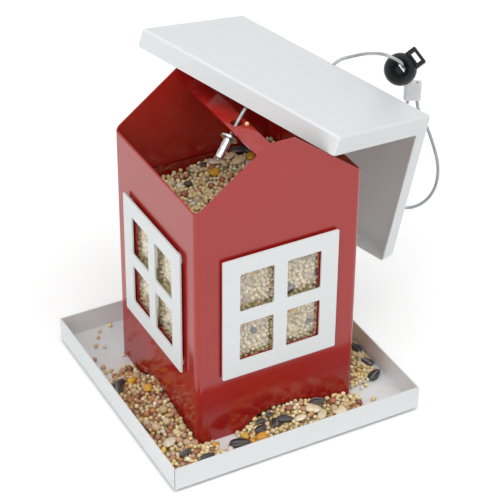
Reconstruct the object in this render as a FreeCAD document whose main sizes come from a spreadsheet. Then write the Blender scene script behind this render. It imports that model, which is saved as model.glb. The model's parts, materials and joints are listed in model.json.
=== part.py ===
import FreeCAD, Part
import math
import os
import re

import Sketcher
from FreeCAD import Placement, Rotation, Vector

# House-shaped feeder of folded sheet steel: a tray, a hopper with four windows, a strap across
# the hopper's mouth, and a loose roof threaded on a hanging cable with a ball cord lock.
# Millimetres. The origin is the middle of the tray's underside, +Z is up, the ridge runs along Y,
# and the gables stand at the front (-Y) and the back (+Y).

SIZES = [
    ("sheet_thickness", 0.8, "steel sheet of tray, hopper and roof"),
    ("tray_width", 157.5, "square tray, outside"),
    ("tray_rim", 15.5, "tray height over the rim"),
    ("tray_bend", 1.6, "outside radius of the tray's folds"),
    ("corner_slit", 0.4, "slit where two rims meet"),
    ("slit_run", 6.0, "length of the slit cutter across the corner"),
    ("hopper_width", 101.2, "square hopper, outside"),
    ("hopper_bend", 3.6, "outside radius of the hopper's upright folds"),
    ("eave_height", 155.0, "top of the eave walls above the ground"),
    ("gable_angle", 37.0, "slope of the gables, degrees"),
    ("gable_flat", 15.2, "width of a gable's flat top"),
    ("opening_width", 50.0, "window opening in a wall"),
    ("opening_height", 60.0, "window opening in a wall"),
    ("opening_corner", 2.0, "corner radius of a window opening"),
    ("arch_chord", 46.0, "width of a feed arch at the tray floor"),
    ("arch_rise", 11.0, "height of a feed arch"),
    ("foot_width", 9.0, "welded foot turned in under the hopper"),
    ("foot_depth", 8.0, "reach of a welded foot"),
    ("foot_inset", 10.5, "middle of a foot from the hopper's outside"),
    ("flange_gap", 1.0, "gap between the closing corner's welded flange and the pane beside it"),
    ("flange_start", 4.0, "lower end of that flange above the ground"),
    ("flange_drop", 3.0, "upper end of that flange below the eave"),
    ("window_centre", 83.1, "height of the window centres"),
    ("light_width", 21.2, "one light of a window frame"),
    ("light_height", 25.0, "one light of a window frame"),
    ("light_corner", 1.2, "corner radius of a light"),
    ("frame_border", 10.6, "border of a window frame"),
    ("frame_bar", 8.1, "glazing bar between two lights"),
    ("frame_thickness", 1.0, "plate of a window frame"),
    ("frame_corner", 0.8, "corner radius of a window frame"),
    ("stand_off", 1.5, "gap between a window frame and the wall"),
    ("stud_radius", 1.5, "weld stud on the back of a frame"),
    ("stud_play", 0.15, "radial play of a stud in wall and pane"),
    ("spacer_radius", 3.5, "spacer sleeve on a stud"),
    ("pane_margin", 1.6, "pane past the frame's outline at each side"),
    ("pane_thickness", 1.0, "clear pane"),
    ("nut_radius", 4.0, "push nut on a stud"),
    ("nut_thickness", 1.2, "push nut on a stud"),
    ("stud_tail", 1.0, "stud past its push nut"),
    ("strap_width", 12.0, "strap across the hopper's mouth"),
    ("strap_thickness", 1.0, "strap plate"),
    ("strap_drop", 15.4, "top face of the strap below the gables' flat tops"),
    ("strap_end", 12.0, "height of the strap's turned-up ends"),
    ("strap_bend", 3.0, "inside radius of the strap's bends"),
    ("strap_hole", 3.5, "radius of the cable hole in the strap"),
    ("roof_panel_angle", 40.0, "slope of the roof panels, degrees"),
    ("roof_panel", 96.2, "panel length from ridge to eave"),
    ("roof_length", 141.4, "length of the ridge"),
    ("roof_lip", 11.1, "depth of the folded lips"),
    ("roof_bend", 1.6, "outside radius of the roof's folds"),
    ("ridge_hole", 2.2, "radius of the cable hole in the ridge"),
    ("roof_yaw_angle", 22.35, "roof turned about the upright, degrees"),
    ("roof_pitch_angle", 7.11, "ridge raised at the back, degrees"),
    ("roof_roll_angle", 57.39, "roof tipped about its ridge, degrees"),
    ("roof_back", 49.8, "ridge middle behind the house's middle"),
    ("rest_gap", 0.3, "gap between the roof's lip and the gables it rests on"),
    ("cable_radius", 0.95, "hanging cable"),
    ("cable_play", 0.05, "radial play of the cable in its ferrules"),
    ("end_lean_angle", 53.0, "lean of the cable end in the strap, degrees"),
    ("stop_radius", 2.4, "stop ferrule on the cable end"),
    ("stop_length", 12.6, "stop ferrule on the cable end"),
    ("stop_chamfer", 0.5, "chamfer at the ends of the stop ferrule"),
    ("crimp_depth", 0.45, "flat pressed into the stop ferrule"),
    ("crimp_length", 3.2, "flat pressed into the stop ferrule"),
    ("washer_radius", 5.0, "washer above the stop ferrule"),
    ("washer_thickness", 1.0, "washer above the stop ferrule"),
    ("washer_play", 0.25, "radial play of the washer on the cable"),
    ("washer_drop", 8.7, "top of the washer below the strap, along the cable"),
    ("cable_tail", 0.8, "cut end of the cable past the stop ferrule"),
    ("lock_radius", 9.6, "ball of the cord lock"),
    ("lock_bore", 3.2, "radius of the cable way through the ball"),
    ("lock_dish", 5.8, "radius of the dished mouths of the cable way"),
    ("lock_dish_depth", 2.6, "depth of the dished mouths"),
    ("plunger_width", 11.2, "flat plunger of the cord lock"),
    ("plunger_thickness", 4.4, "flat plunger of the cord lock"),
    ("plunger_reach", 14.5, "outer end of the plunger from the ball's centre"),
    ("plunger_foot", 4.2, "inner end of the plunger from the ball's centre"),
    ("plunger_web", 4.8, "plunger below its cable window"),
    ("plunger_window", 6.2, "length of the cable window in the plunger"),
    ("plunger_corner", 1.0, "corner radius of the plunger's tab"),
    ("plunger_travel", 2.5, "travel of the plunger"),
    ("plunger_play", 0.2, "play of the plunger in its well"),
    ("tab_slot_width", 6.4, "slot in the plunger's tab"),
    ("tab_slot_height", 2.6, "slot in the plunger's tab"),
    ("tab_rim", 1.9, "tab outside its slot"),
    ("spring_radius", 1.7, "plunger spring, middle of the wire"),
    ("spring_wire", 0.2, "radius of the spring wire"),
    ("spring_room", 4.4, "length of the plunger spring at rest"),
    ("spring_seat_play", 0.5, "radial room round the spring in its seat"),
    ("spring_turns", 3.0, "turns of the plunger spring"),
    ("spring_gap", 0.1, "gap between the spring and the plunger"),
    ("ferrule_width", 10.2, "double ferrule of the hanging loop"),
    ("ferrule_height", 11.0, "double ferrule of the hanging loop"),
    ("ferrule_depth", 5.4, "double ferrule of the hanging loop"),
    ("ferrule_corner", 1.6, "corner radius of the double ferrule"),
    ("ferrule_strands", 4.8, "distance between the two strands"),
    ("ferrule_recess", 2.2, "cut end of the loop below the ferrule's top"),
    ("lead_above", 3.0, "straight cable above the double ferrule"),
    ("lead_below", 5.0, "straight strands below the double ferrule"),
    ("ridge_lead", 7.0, "straight cable below the hole in the ridge"),
    ("strap_lead", 9.0, "cable above the strap, in line with the cable end"),
]

# Cable route. The first list is measured from the cable's place in the strap, the others from the
# hole in the ridge, along the axes of the house.
ROUTE_FROM_STRAP = [(16.0, 8.5, 8.8), (33.0, 17.5, 4.1)]
ROUTE_UNDER_ROOF = [(-37.5, -19.9, 5.0), (-20.5, -10.9, -0.2)]
ROOF_TAIL = (-2.9, -1.5, -0.9)
ROUTE_TO_LOCK = [
    (3.6, 1.2, 1.3),
    (10.2, -1.9, 3.1),
    (13.7, -8.2, 6.9),
    (13.6, -17.6, 11.9),
    (12.0, -25.8, 16.2),
    (12.2, -32.8, 19.2),
    (15.6, -38.6, 18.8),
    (21.0, -40.0, 14.8),
]
LOCK_CENTRE = (26.45, -30.57, 4.6)
LOCK_WAY = (0.5252, 0.6533, -0.5453)
LOCK_TAB = (0.8037, -0.1703, 0.5702)
# Inside the lock: distance along its cable way, and offset towards its tab.
ROUTE_IN_LOCK = [(-7.5, 2.0), (-1.5, 2.3), (5.0, 2.0), (10.0, 2.2)]
ROUTE_TO_FERRULE = [(36.3, -21.7, -4.0)]
FERRULE_CENTRE = (41.25, -22.67, -17.1)
FERRULE_ACROSS = (0.879, -0.476, 0.0)
ROUTE_LOOP = [
    (49.0, -26.6, -38.5),
    (53.9, -29.2, -53.0),
    (58.0, -31.5, -69.0),
    (57.5, -31.3, -84.5),
    (52.0, -28.3, -96.0),
    (42.6, -23.2, -100.9),
    (32.6, -17.8, -96.4),
    (26.1, -14.3, -83.4),
    (25.3, -13.8, -66.4),
    (28.6, -15.6, -51.5),
    (33.8, -18.5, -38.0),
]

SIDES = [("front", 0.0), ("right", 90.0), ("back", 180.0), ("left", 270.0)]
CORNERS = [(1, 1), (-1, 1), (-1, -1), (1, -1)]

doc = FreeCAD.newDocument("bird_feeder")
sheet = doc.addObject("Spreadsheet::Sheet", "sizes")
for row, (alias, value, meaning) in enumerate(SIZES, start=1):
    sheet.set(f"A{row}", alias)
    sheet.set(f"B{row}", str(value))
    sheet.set(f"C{row}", meaning)
    sheet.setAlias(f"B{row}", alias)
doc.recompute()


def size(alias):
    """Value of a driving dimension."""
    return float(sheet.get(alias))


def bind(target, name, expression):
    """Tie a property to the sheet, with each alias in the expression given its sheet."""
    def with_sheet(match):
        word = match.group(0)
        return f"sizes.{word}" if word in ALIASES else word

    target.setExpression(name, re.sub(r"[a-z_]+", with_sheet, expression))


ALIASES = {alias for alias, value, meaning in SIZES}
nodes = []


# Drawing helpers

def new_body(label):
    """Body that becomes a node of its own."""
    body = doc.addObject("PartDesign::Body", label)
    body.Label = label
    nodes.append(body)
    return body


def new_sketch(body, role, name, along=None, up=None):
    """Sketch on one of the body's origin planes, moved along its normal and up its own y axis."""
    sketch = body.newObject("Sketcher::SketchObject", f"{body.Name}_{name}")
    origin_plane = [item for item in body.Origin.OriginFeatures if item.Role == role][0]
    sketch.AttachmentSupport = [(origin_plane, "")]
    sketch.MapMode = "FlatFace"
    if along:
        bind(sketch, "AttachmentOffset.Base.z", along)
    if up:
        bind(sketch, "AttachmentOffset.Base.y", up)
    return sketch


def draw_rectangle(sketch, width, height):
    """Rectangle about the sketch's origin, with its two lengths tied to the sheet."""
    corners = [Vector(-1, -1), Vector(1, -1), Vector(1, 1), Vector(-1, 1)]
    first = draw_polygon(sketch, corners)
    for index in (0, 2):
        sketch.addConstraint(Sketcher.Constraint("Horizontal", first + index))
        sketch.addConstraint(Sketcher.Constraint("Vertical", first + index + 1))
    sketch.addConstraint(Sketcher.Constraint("Symmetric", first, 1, first + 1, 2, -1, 1))
    across = sketch.addConstraint(Sketcher.Constraint("DistanceX", first, 1, first, 2, 2.0))
    upward = sketch.addConstraint(Sketcher.Constraint("DistanceY", first + 1, 1, first + 1, 2, 2.0))
    bind(sketch, f"Constraints[{across}]", width)
    bind(sketch, f"Constraints[{upward}]", height)


def draw_polygon(sketch, corners):
    """Closed outline of straight lines joined at their ends."""
    first = sketch.GeometryCount
    count = len(corners)
    for index in range(count):
        sketch.addGeometry(Part.LineSegment(corners[index], corners[(index + 1) % count]))
    for index in range(count):
        following = first + (index + 1) % count
        sketch.addConstraint(Sketcher.Constraint("Coincident", first + index, 2, following, 1))
    return first


def draw_circle(sketch, radius, centre=Vector(0, 0)):
    """Circle whose radius is tied to the sheet."""
    index = sketch.addGeometry(Part.Circle(centre, Vector(0, 0, 1), 1.0))
    constraint = sketch.addConstraint(Sketcher.Constraint("Radius", index, 1.0))
    bind(sketch, f"Constraints[{constraint}]", radius)


def add_feature(body, kind, name, sketch, length, reverse=False, both_ways=False):
    """Pad or pocket of a sketch, with its length tied to the sheet."""
    feature = body.newObject(f"PartDesign::{kind}", f"{body.Name}_{name}")
    feature.Profile = sketch
    feature.Reversed = reverse
    if both_ways:
        feature.SideType = "Symmetric"
    bind(feature, "Length", length)
    doc.recompute()
    return feature


def add_fillet(body, name, base, radius, wanted):
    """Round the edges of the base feature that the test picks."""
    picked = [f"Edge{i}" for i, edge in enumerate(base.Shape.Edges, start=1) if wanted(edge)]
    fillet = body.newObject("PartDesign::Fillet", f"{body.Name}_{name}")
    fillet.Base = (base, picked)
    bind(fillet, "Radius", radius)
    doc.recompute()
    return fillet


def runs_along(edge, axis):
    """True for a straight edge parallel to the axis."""
    ends = [vertex.Point for vertex in edge.Vertexes]
    if len(ends) != 2:
        return False
    span = (ends[1] - ends[0]).normalize()
    return abs(abs(span.dot(axis)) - 1.0) < 1e-6


def middle(edge):
    """Middle of the box round an edge."""
    return edge.BoundBox.Center


X_AXIS = Vector(1, 0, 0)
Y_AXIS = Vector(0, 1, 0)
Z_AXIS = Vector(0, 0, 1)

sheet_steel = size("sheet_thickness")
half_house = size("hopper_width") / 2
gable_rise = (half_house - size("gable_flat") / 2) * math.tan(math.radians(size("gable_angle")))
gable_top = size("eave_height") + gable_rise
pane_half = size("frame_bar") / 2 + size("light_width") + size("frame_border") + size("pane_margin")
strap_top = gable_top - size("strap_drop")
GABLE_TOP = "(eave_height + (hopper_width / 2 - gable_flat / 2) * tan(gable_angle * 1deg))"


# Tray

def make_tray():
    """Square tray, folded up on four sides, with a slit at each corner."""
    body = new_body("tray")
    outline = new_sketch(body, "XY_Plane", "outline")
    draw_rectangle(outline, "tray_width", "tray_width")
    block = add_feature(body, "Pad", "block", outline, "tray_rim")
    add_fillet(body, "folds", block, "tray_bend", lambda edge: abs(edge.BoundBox.ZMax) < 1e-6)
    inside = new_sketch(body, "XY_Plane", "inside", along="sheet_thickness")
    draw_rectangle(inside, "tray_width - 2 * sheet_thickness", "tray_width - 2 * sheet_thickness")
    hollow = add_feature(body, "Pocket", "hollow", inside, "tray_rim", reverse=True)
    add_fillet(body, "inner_folds", hollow, "tray_bend - sheet_thickness",
               lambda edge: abs(middle(edge).z - sheet_steel) < 1e-6 and edge.BoundBox.ZLength < 1e-6
               and edge.Length > size("tray_width") / 2
               and max(abs(middle(edge).x), abs(middle(edge).y)) > size("tray_width") / 2 - 2 * sheet_steel)
    slits = new_sketch(body, "XY_Plane", "slits", along="tray_bend")
    for sign_x, sign_y in CORNERS:
        corner = Vector(sign_x, sign_y) * (size("tray_width") / 2)
        inward = Vector(sign_x, sign_y).normalize() * (size("slit_run") / 2)
        across = Vector(-sign_y, sign_x).normalize() * (size("corner_slit") / 2)
        draw_polygon(slits, [corner - inward - across, corner + inward - across,
                             corner + inward + across, corner - inward + across])
    add_feature(body, "Pocket", "slit_cut", slits, "tray_rim", reverse=True)
    return body


# Hopper

def cut_both_walls(body, role, name, draw, up=None):
    """Cut a drawn outline through the two walls that face along the plane's normal."""
    sketch = new_sketch(body, role, name, up=up)
    draw(sketch)
    return add_feature(body, "Pocket", f"{name}_cut", sketch, "2 * hopper_width", both_ways=True)


def draw_above_gable(sketch):
    """Everything above the two slopes of the house."""
    past = half_house + size("hopper_bend")
    slope = math.tan(math.radians(size("gable_angle")))
    for sign in (-1, 1):
        draw_polygon(sketch, [
            Vector(sign * past, size("eave_height") - (past - half_house) * slope),
            Vector(sign * size("gable_flat") / 2, gable_top),
            Vector(sign * size("gable_flat") / 2, gable_top + gable_rise),
            Vector(sign * past, gable_top + gable_rise),
        ])


def draw_opening(sketch):
    """Window opening about the sketch's origin."""
    draw_rectangle(sketch, "opening_width", "opening_height")


def draw_arch(sketch):
    """Feed arch standing on the tray floor."""
    half = size("arch_chord") / 2
    left = Vector(-half, sheet_steel)
    right = Vector(half, sheet_steel)
    crown = Vector(0, sheet_steel + size("arch_rise"))
    sketch.addGeometry(Part.Arc(left, crown, right))
    sketch.addGeometry(Part.LineSegment(left, right))


def stud_places():
    """Places of the four studs of a window, measured from its centre."""
    across = size("frame_bar") / 2 + size("light_width") + size("frame_border") / 2
    upward = size("frame_bar") / 2 + size("light_height") + size("frame_border") / 2
    return [Vector(sign_x * across, sign_z * upward) for sign_x, sign_z in CORNERS]


def draw_stud_holes(sketch):
    """Four holes for the studs of a window frame."""
    for place in stud_places():
        draw_circle(sketch, "stud_radius + stud_play", place)


def make_hopper():
    """Folded square house with gables, window openings, feed arches and welded feet."""
    body = new_body("hopper_shell")
    outline = new_sketch(body, "XY_Plane", "outline", along="sheet_thickness")
    draw_rectangle(outline, "hopper_width", "hopper_width")
    block = add_feature(body, "Pad", "block", outline, f"{GABLE_TOP} - sheet_thickness")
    inside = new_sketch(body, "XY_Plane", "inside", along="sheet_thickness")
    draw_rectangle(inside, "hopper_width - 2 * sheet_thickness", "hopper_width - 2 * sheet_thickness")
    hollow = add_feature(body, "Pocket", "hollow", inside, GABLE_TOP, reverse=True)
    inner_half = half_house - sheet_steel
    rounded = add_fillet(body, "inner_folds", hollow, "hopper_bend - sheet_thickness",
                         lambda edge: is_house_corner(edge, inner_half))
    add_fillet(body, "folds", rounded, "hopper_bend", lambda edge: is_house_corner(edge, half_house))
    feet = new_sketch(body, "XY_Plane", "feet", along="sheet_thickness")
    for sign_x, sign_y in CORNERS:
        wall = sign_x * inner_half
        reach = sign_x * (inner_half - size("foot_depth"))
        near = sign_y * (half_house - size("foot_inset")) - size("foot_width") / 2
        far = near + size("foot_width")
        draw_polygon(feet, [Vector(reach, near), Vector(wall, near), Vector(wall, far), Vector(reach, far)])
    add_feature(body, "Pad", "foot_pads", feet, "sheet_thickness")
    flange = new_sketch(body, "XY_Plane", "flange", along="flange_start")
    far = inner_half - size("hopper_bend")
    near = pane_half + size("flange_gap")
    draw_polygon(flange, [Vector(inner_half - sheet_steel, near), Vector(inner_half, near),
                          Vector(inner_half, far), Vector(inner_half - sheet_steel, far)])
    add_feature(body, "Pad", "flange_pad", flange, "eave_height - flange_start - flange_drop")
    cut_both_walls(body, "XZ_Plane", "gables", draw_above_gable)
    for role, facing in (("XZ_Plane", "gable_walls"), ("YZ_Plane", "eave_walls")):
        cut_both_walls(body, role, f"{facing}_arch", draw_arch)
        cut_both_walls(body, role, f"{facing}_studs", draw_stud_holes, up="window_centre")
        opened = cut_both_walls(body, role, f"{facing}_window", draw_opening, up="window_centre")
        normal = Y_AXIS if role == "XZ_Plane" else X_AXIS
        add_fillet(body, f"{facing}_corners", opened, "opening_corner",
                   lambda edge: runs_along(edge, normal) and edge.Length < 2 * sheet_steel
                   and is_opening_corner(middle(edge), normal))
    return body


def is_house_corner(edge, half):
    """True for an upright edge at a corner of a square of that half width."""
    place = middle(edge)
    return (runs_along(edge, Z_AXIS) and abs(abs(place.x) - half) < 1e-6
            and abs(abs(place.y) - half) < 1e-6)


def is_opening_corner(point, normal):
    """True at a corner of a window opening in a wall that faces along the normal."""
    across = point.x if normal == Y_AXIS else point.y
    upward = point.z - size("window_centre")
    return (abs(abs(across) - size("opening_width") / 2) < 1e-6
            and abs(abs(upward) - size("opening_height") / 2) < 1e-6)


# Windows

FRAME_WIDTH = "(2 * light_width + frame_bar + 2 * frame_border)"
FRAME_HEIGHT = "(2 * light_height + frame_bar + 2 * frame_border)"
FRAME_BACK = "(hopper_width / 2 + stand_off)"
WALL_INSIDE = "(hopper_width / 2 - sheet_thickness)"
PANE_INSIDE = "(hopper_width / 2 - sheet_thickness - pane_thickness)"


def turn_to_side(target, angle):
    """Turn a piece drawn on the front wall to its own wall."""
    target.Placement = Placement(Vector(), Rotation(Z_AXIS, angle))


def make_window_frame(side, angle):
    """Flat frame of four lights with weld studs on its back."""
    body = new_body(f"window_frame_{side}")
    outline = new_sketch(body, "XZ_Plane", "outline", along=FRAME_BACK, up="window_centre")
    draw_rectangle(outline, FRAME_WIDTH, FRAME_HEIGHT)
    plate = add_feature(body, "Pad", "plate", outline, "frame_thickness")
    add_fillet(body, "corners", plate, "frame_corner", lambda edge: runs_along(edge, Y_AXIS))
    lights = new_sketch(body, "XZ_Plane", "lights", along=FRAME_BACK, up="window_centre")
    for sign_x, sign_z in CORNERS:
        near_x = sign_x * size("frame_bar") / 2
        far_x = near_x + sign_x * size("light_width")
        near_z = sign_z * size("frame_bar") / 2
        far_z = near_z + sign_z * size("light_height")
        draw_polygon(lights, [Vector(near_x, near_z), Vector(far_x, near_z),
                              Vector(far_x, far_z), Vector(near_x, far_z)])
    opened = add_feature(body, "Pocket", "light_cut", lights, "frame_thickness", reverse=True)
    edge_of_lights = size("frame_bar") / 2 + size("light_width") + size("frame_border") / 2
    add_fillet(body, "light_corners", opened, "light_corner",
               lambda edge: runs_along(edge, Y_AXIS) and abs(middle(edge).x) < edge_of_lights)
    studs = new_sketch(body, "XZ_Plane", "studs", along=FRAME_BACK, up="window_centre")
    for place in stud_places():
        draw_circle(studs, "stud_radius", place)
    reach = "stand_off + sheet_thickness + pane_thickness + nut_thickness + stud_tail"
    add_feature(body, "Pad", "stud_pads", studs, reach, reverse=True)
    turn_to_side(body, angle)
    return body


def make_pane(side, angle):
    """Clear pane behind a window opening, held on the frame's studs."""
    body = new_body(f"window_pane_{side}")
    outline = new_sketch(body, "XZ_Plane", "outline", along=PANE_INSIDE, up="window_centre")
    draw_rectangle(outline, f"{FRAME_WIDTH} + 2 * pane_margin", f"{FRAME_HEIGHT} + 2 * pane_margin")
    add_feature(body, "Pad", "plate", outline, "pane_thickness")
    holes = new_sketch(body, "XZ_Plane", "holes", along=PANE_INSIDE, up="window_centre")
    draw_stud_holes(holes)
    add_feature(body, "Pocket", "hole_cut", holes, "pane_thickness", reverse=True)
    turn_to_side(body, angle)
    return body


def make_stud_rings(label, angle, outer, inner, start, length):
    """One ring on each stud of a window, as four separate solids."""
    sketch = doc.addObject("Sketcher::SketchObject", f"{label}_rings")
    for place in stud_places():
        draw_circle(sketch, outer, place)
        draw_circle(sketch, inner, place)
    rings = doc.addObject("Part::Extrusion", label)
    rings.Label = label
    rings.Base = sketch
    rings.DirMode = "Normal"
    rings.Solid = True
    rings.FaceMakerClass = "Part::FaceMakerBullseye"
    bind(rings, "LengthFwd", length)
    upright = Rotation(X_AXIS, 90.0)
    wall_turn = Rotation(Z_AXIS, angle)
    place = wall_turn.multVec(Vector(0, -start, size("window_centre")))
    sketch.Placement = Placement(place, wall_turn.multiply(upright))
    doc.recompute()
    nodes.append(rings)
    return rings


def make_windows():
    """Frame, spacers, pane and push nuts of the four walls."""
    pane_face = half_house - sheet_steel - size("pane_thickness")
    for side, angle in SIDES:
        make_window_frame(side, angle)
        make_pane(side, angle)
        make_stud_rings(f"frame_spacers_{side}", angle, "spacer_radius", "stud_radius + stud_play",
                        half_house, "stand_off")
        make_stud_rings(f"push_nuts_{side}", angle, "nut_radius", "stud_radius",
                        pane_face - size("nut_thickness"), "nut_thickness")


# Strap

def make_strap():
    """Flat strap between the gables, with turned-up ends and a hole for the cable."""
    body = new_body("bridge_strap")
    profile = new_sketch(body, "YZ_Plane", "profile")
    half = half_house - sheet_steel
    plate = size("strap_thickness")
    low = strap_top - plate
    high = strap_top + size("strap_end")
    draw_polygon(profile, [
        Vector(-half, low), Vector(half, low), Vector(half, high), Vector(half - plate, high),
        Vector(half - plate, strap_top), Vector(plate - half, strap_top),
        Vector(plate - half, high), Vector(-half, high),
    ])
    bar = add_feature(body, "Pad", "bar", profile, "strap_width", both_ways=True)
    outer = add_fillet(body, "outer_bends", bar, "strap_bend + strap_thickness",
                       lambda edge: runs_along(edge, X_AXIS) and abs(middle(edge).z - low) < 1e-6)
    add_fillet(body, "inner_bends", outer, "strap_bend",
               lambda edge: runs_along(edge, X_AXIS) and abs(middle(edge).z - strap_top) < 1e-6
               and abs(abs(middle(edge).y) - (half - plate)) < 1e-6)
    hole = new_sketch(body, "XY_Plane", "hole", along=f"{GABLE_TOP} - strap_drop")
    draw_circle(hole, "strap_hole")
    add_feature(body, "Pocket", "hole_cut", hole, "2 * strap_thickness")
    return body


# Roof

roof_angle = math.radians(size("roof_panel_angle"))
down_slope = Vector(math.cos(roof_angle), 0, -math.sin(roof_angle))
into_roof = Vector(-math.sin(roof_angle), 0, -math.cos(roof_angle))


def mirrored(point):
    """The same point on the other side of the ridge."""
    return Vector(-point.x, point.y, point.z)


def roof_section(panel, inset, depth):
    """Corners of a folded roof section, set in from the outside and open below."""
    ridge = Vector(0, 0, -inset / math.cos(roof_angle))
    eave = down_slope * (panel - inset) + into_roof * inset
    lip = eave + into_roof * (depth - inset)
    crotch = Vector(0, 0, -depth / math.cos(roof_angle))
    points = [ridge, eave, lip, crotch, mirrored(lip), mirrored(eave)]
    return [Vector(point.x, point.z) for point in points]


def gable_edge(x):
    """Height of the gables' upper edge above the ground at a distance from the middle."""
    slope = math.tan(math.radians(size("gable_angle")))
    return min(gable_top, size("eave_height") + (half_house - abs(x)) * slope)


def roof_placement():
    """Place of the lifted roof: its eave lip rests on both gables and its ridge hangs outside."""
    turn = Rotation(Z_AXIS, size("roof_yaw_angle"))
    turn = turn.multiply(Rotation(X_AXIS, size("roof_pitch_angle")))
    turn = turn.multiply(Rotation(Y_AXIS, size("roof_roll_angle")))
    lip = mirrored(down_slope * size("roof_panel") + into_roof * size("roof_lip"))
    inner_lip = lip + mirrored(down_slope) * (-sheet_steel)
    along = turn.multVec(Y_AXIS)
    edges = [turn.multVec(lip), turn.multVec(inner_lip)]
    slope = math.tan(math.radians(size("gable_angle")))
    base = Vector(half_house, size("roof_back"), gable_top)
    gable_faces = {"front": (-half_house, sheet_steel - half_house),
                   "back": (half_house, half_house - sheet_steel)}
    for step in range(60):
        gaps = {}
        for name, faces in gable_faces.items():
            crossings = [edge + base + along * ((face - edge.y - base.y) / along.y)
                         for edge in edges for face in faces]
            gaps[name] = min(point.z - gable_edge(point.x) for point in crossings)
        front = size("rest_gap") - gaps["front"]
        back = size("rest_gap") - gaps["back"]
        base = base + Vector((front - back) / (2 * slope), 0, (front + back) / 2)
    return Placement(base, turn)


def make_roof():
    """Two folded panels with lips on all sides and a cable hole in the ridge."""
    body = new_body("roof")
    section = new_sketch(body, "XZ_Plane", "section")
    draw_polygon(section, roof_section(size("roof_panel"), 0.0, size("roof_lip")))
    block = add_feature(body, "Pad", "block", section, "roof_length", both_ways=True)
    below = roof_section(size("roof_panel"), 0.0, size("roof_lip"))
    lip_line = [Vector(point.x, 0, point.y) for point in below[2:5]]
    add_fillet(body, "folds", block, "roof_bend", lambda edge: not touches_lip_line(edge, lip_line))
    inside = new_sketch(body, "XZ_Plane", "inside")
    draw_polygon(inside, roof_section(size("roof_panel"), sheet_steel, 2 * size("roof_lip")))
    hollow = add_feature(body, "Pocket", "hollow", inside, "roof_length - 2 * sheet_thickness",
                         both_ways=True)
    inner = roof_section(size("roof_panel"), sheet_steel, size("roof_lip"))
    fold_lines = [Vector(inner[index].x, 0, inner[index].y) for index in (0, 1, 5)]
    add_fillet(body, "inner_folds", hollow, "roof_bend - sheet_thickness",
               lambda edge: runs_along(edge, Y_AXIS)
               and any((middle(edge) - line).Length < 0.01 for line in fold_lines))
    hole = new_sketch(body, "XY_Plane", "ridge_hole")
    draw_circle(hole, "ridge_hole")
    add_feature(body, "Pocket", "ridge_hole_cut", hole, "2 * roof_lip", both_ways=True)
    body.Placement = roof_placement()
    return body


def touches_lip_line(edge, lip_line):
    """True for the edges along the roof's open underside."""
    place = middle(edge)
    flat = Vector(place.x, 0, place.z)
    corners = [Vector(point.x, 0, point.z) for point in lip_line]
    if runs_along(edge, Y_AXIS):
        return any((flat - corner).Length < 0.01 for corner in corners)
    underside = [(corners[0] + corners[1]) * 0.5, (corners[1] + corners[2]) * 0.5]
    return any((flat - point).Length < 0.01 for point in underside)


# Cable

def cable_wire(points):
    """Straight runs joined by tangent arcs, and the radii of those arcs."""
    edges = []
    radii = []
    start = points[0]
    for index in range(1, len(points) - 1):
        corner = points[index]
        incoming = corner - points[index - 1]
        outgoing = points[index + 1] - corner
        turn = incoming.getAngle(outgoing)
        cut = 0.45 * min(incoming.Length, outgoing.Length)
        radius = cut / math.tan(turn / 2)
        before = corner - Vector(incoming).normalize() * cut
        after = corner + Vector(outgoing).normalize() * cut
        inward = (before + after) * 0.5 - corner
        bulge = corner + Vector(inward).normalize() * (radius / math.cos(turn / 2) - radius)
        edges.append(Part.LineSegment(start, before).toShape())
        edges.append(Part.Arc(before, bulge, after).toShape())
        radii.append(radius)
        start = after
    edges.append(Part.LineSegment(start, points[-1]).toShape())
    return Part.Wire(edges), radii


def make_cable(label, points):
    """Round cable along a route."""
    wire, radii = cable_wire(points)
    heading = Vector(points[1] - points[0]).normalize()
    ring = Part.Wire(Part.makeCircle(size("cable_radius"), points[0], heading))
    tube = wire.makePipeShell([ring], True, False)
    expected = math.pi * size("cable_radius") ** 2 * wire.Length
    print(label, "length", round(wire.Length, 1), "least radius", round(min(radii), 1),
          "volume share", round(tube.Volume / expected, 4))
    cable = doc.addObject("Part::Feature", label)
    cable.Label = label
    cable.Shape = tube
    nodes.append(cable)
    return cable


def frame_of(x_axis, z_axis, base):
    """Placement with the given place, upright axis and cross axis."""
    upright = Vector(z_axis).normalize()
    cross = Vector(x_axis) - upright * upright.dot(x_axis)
    cross.normalize()
    return Placement(base, Rotation(cross, upright.cross(cross), upright, "XYZ"))


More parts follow.
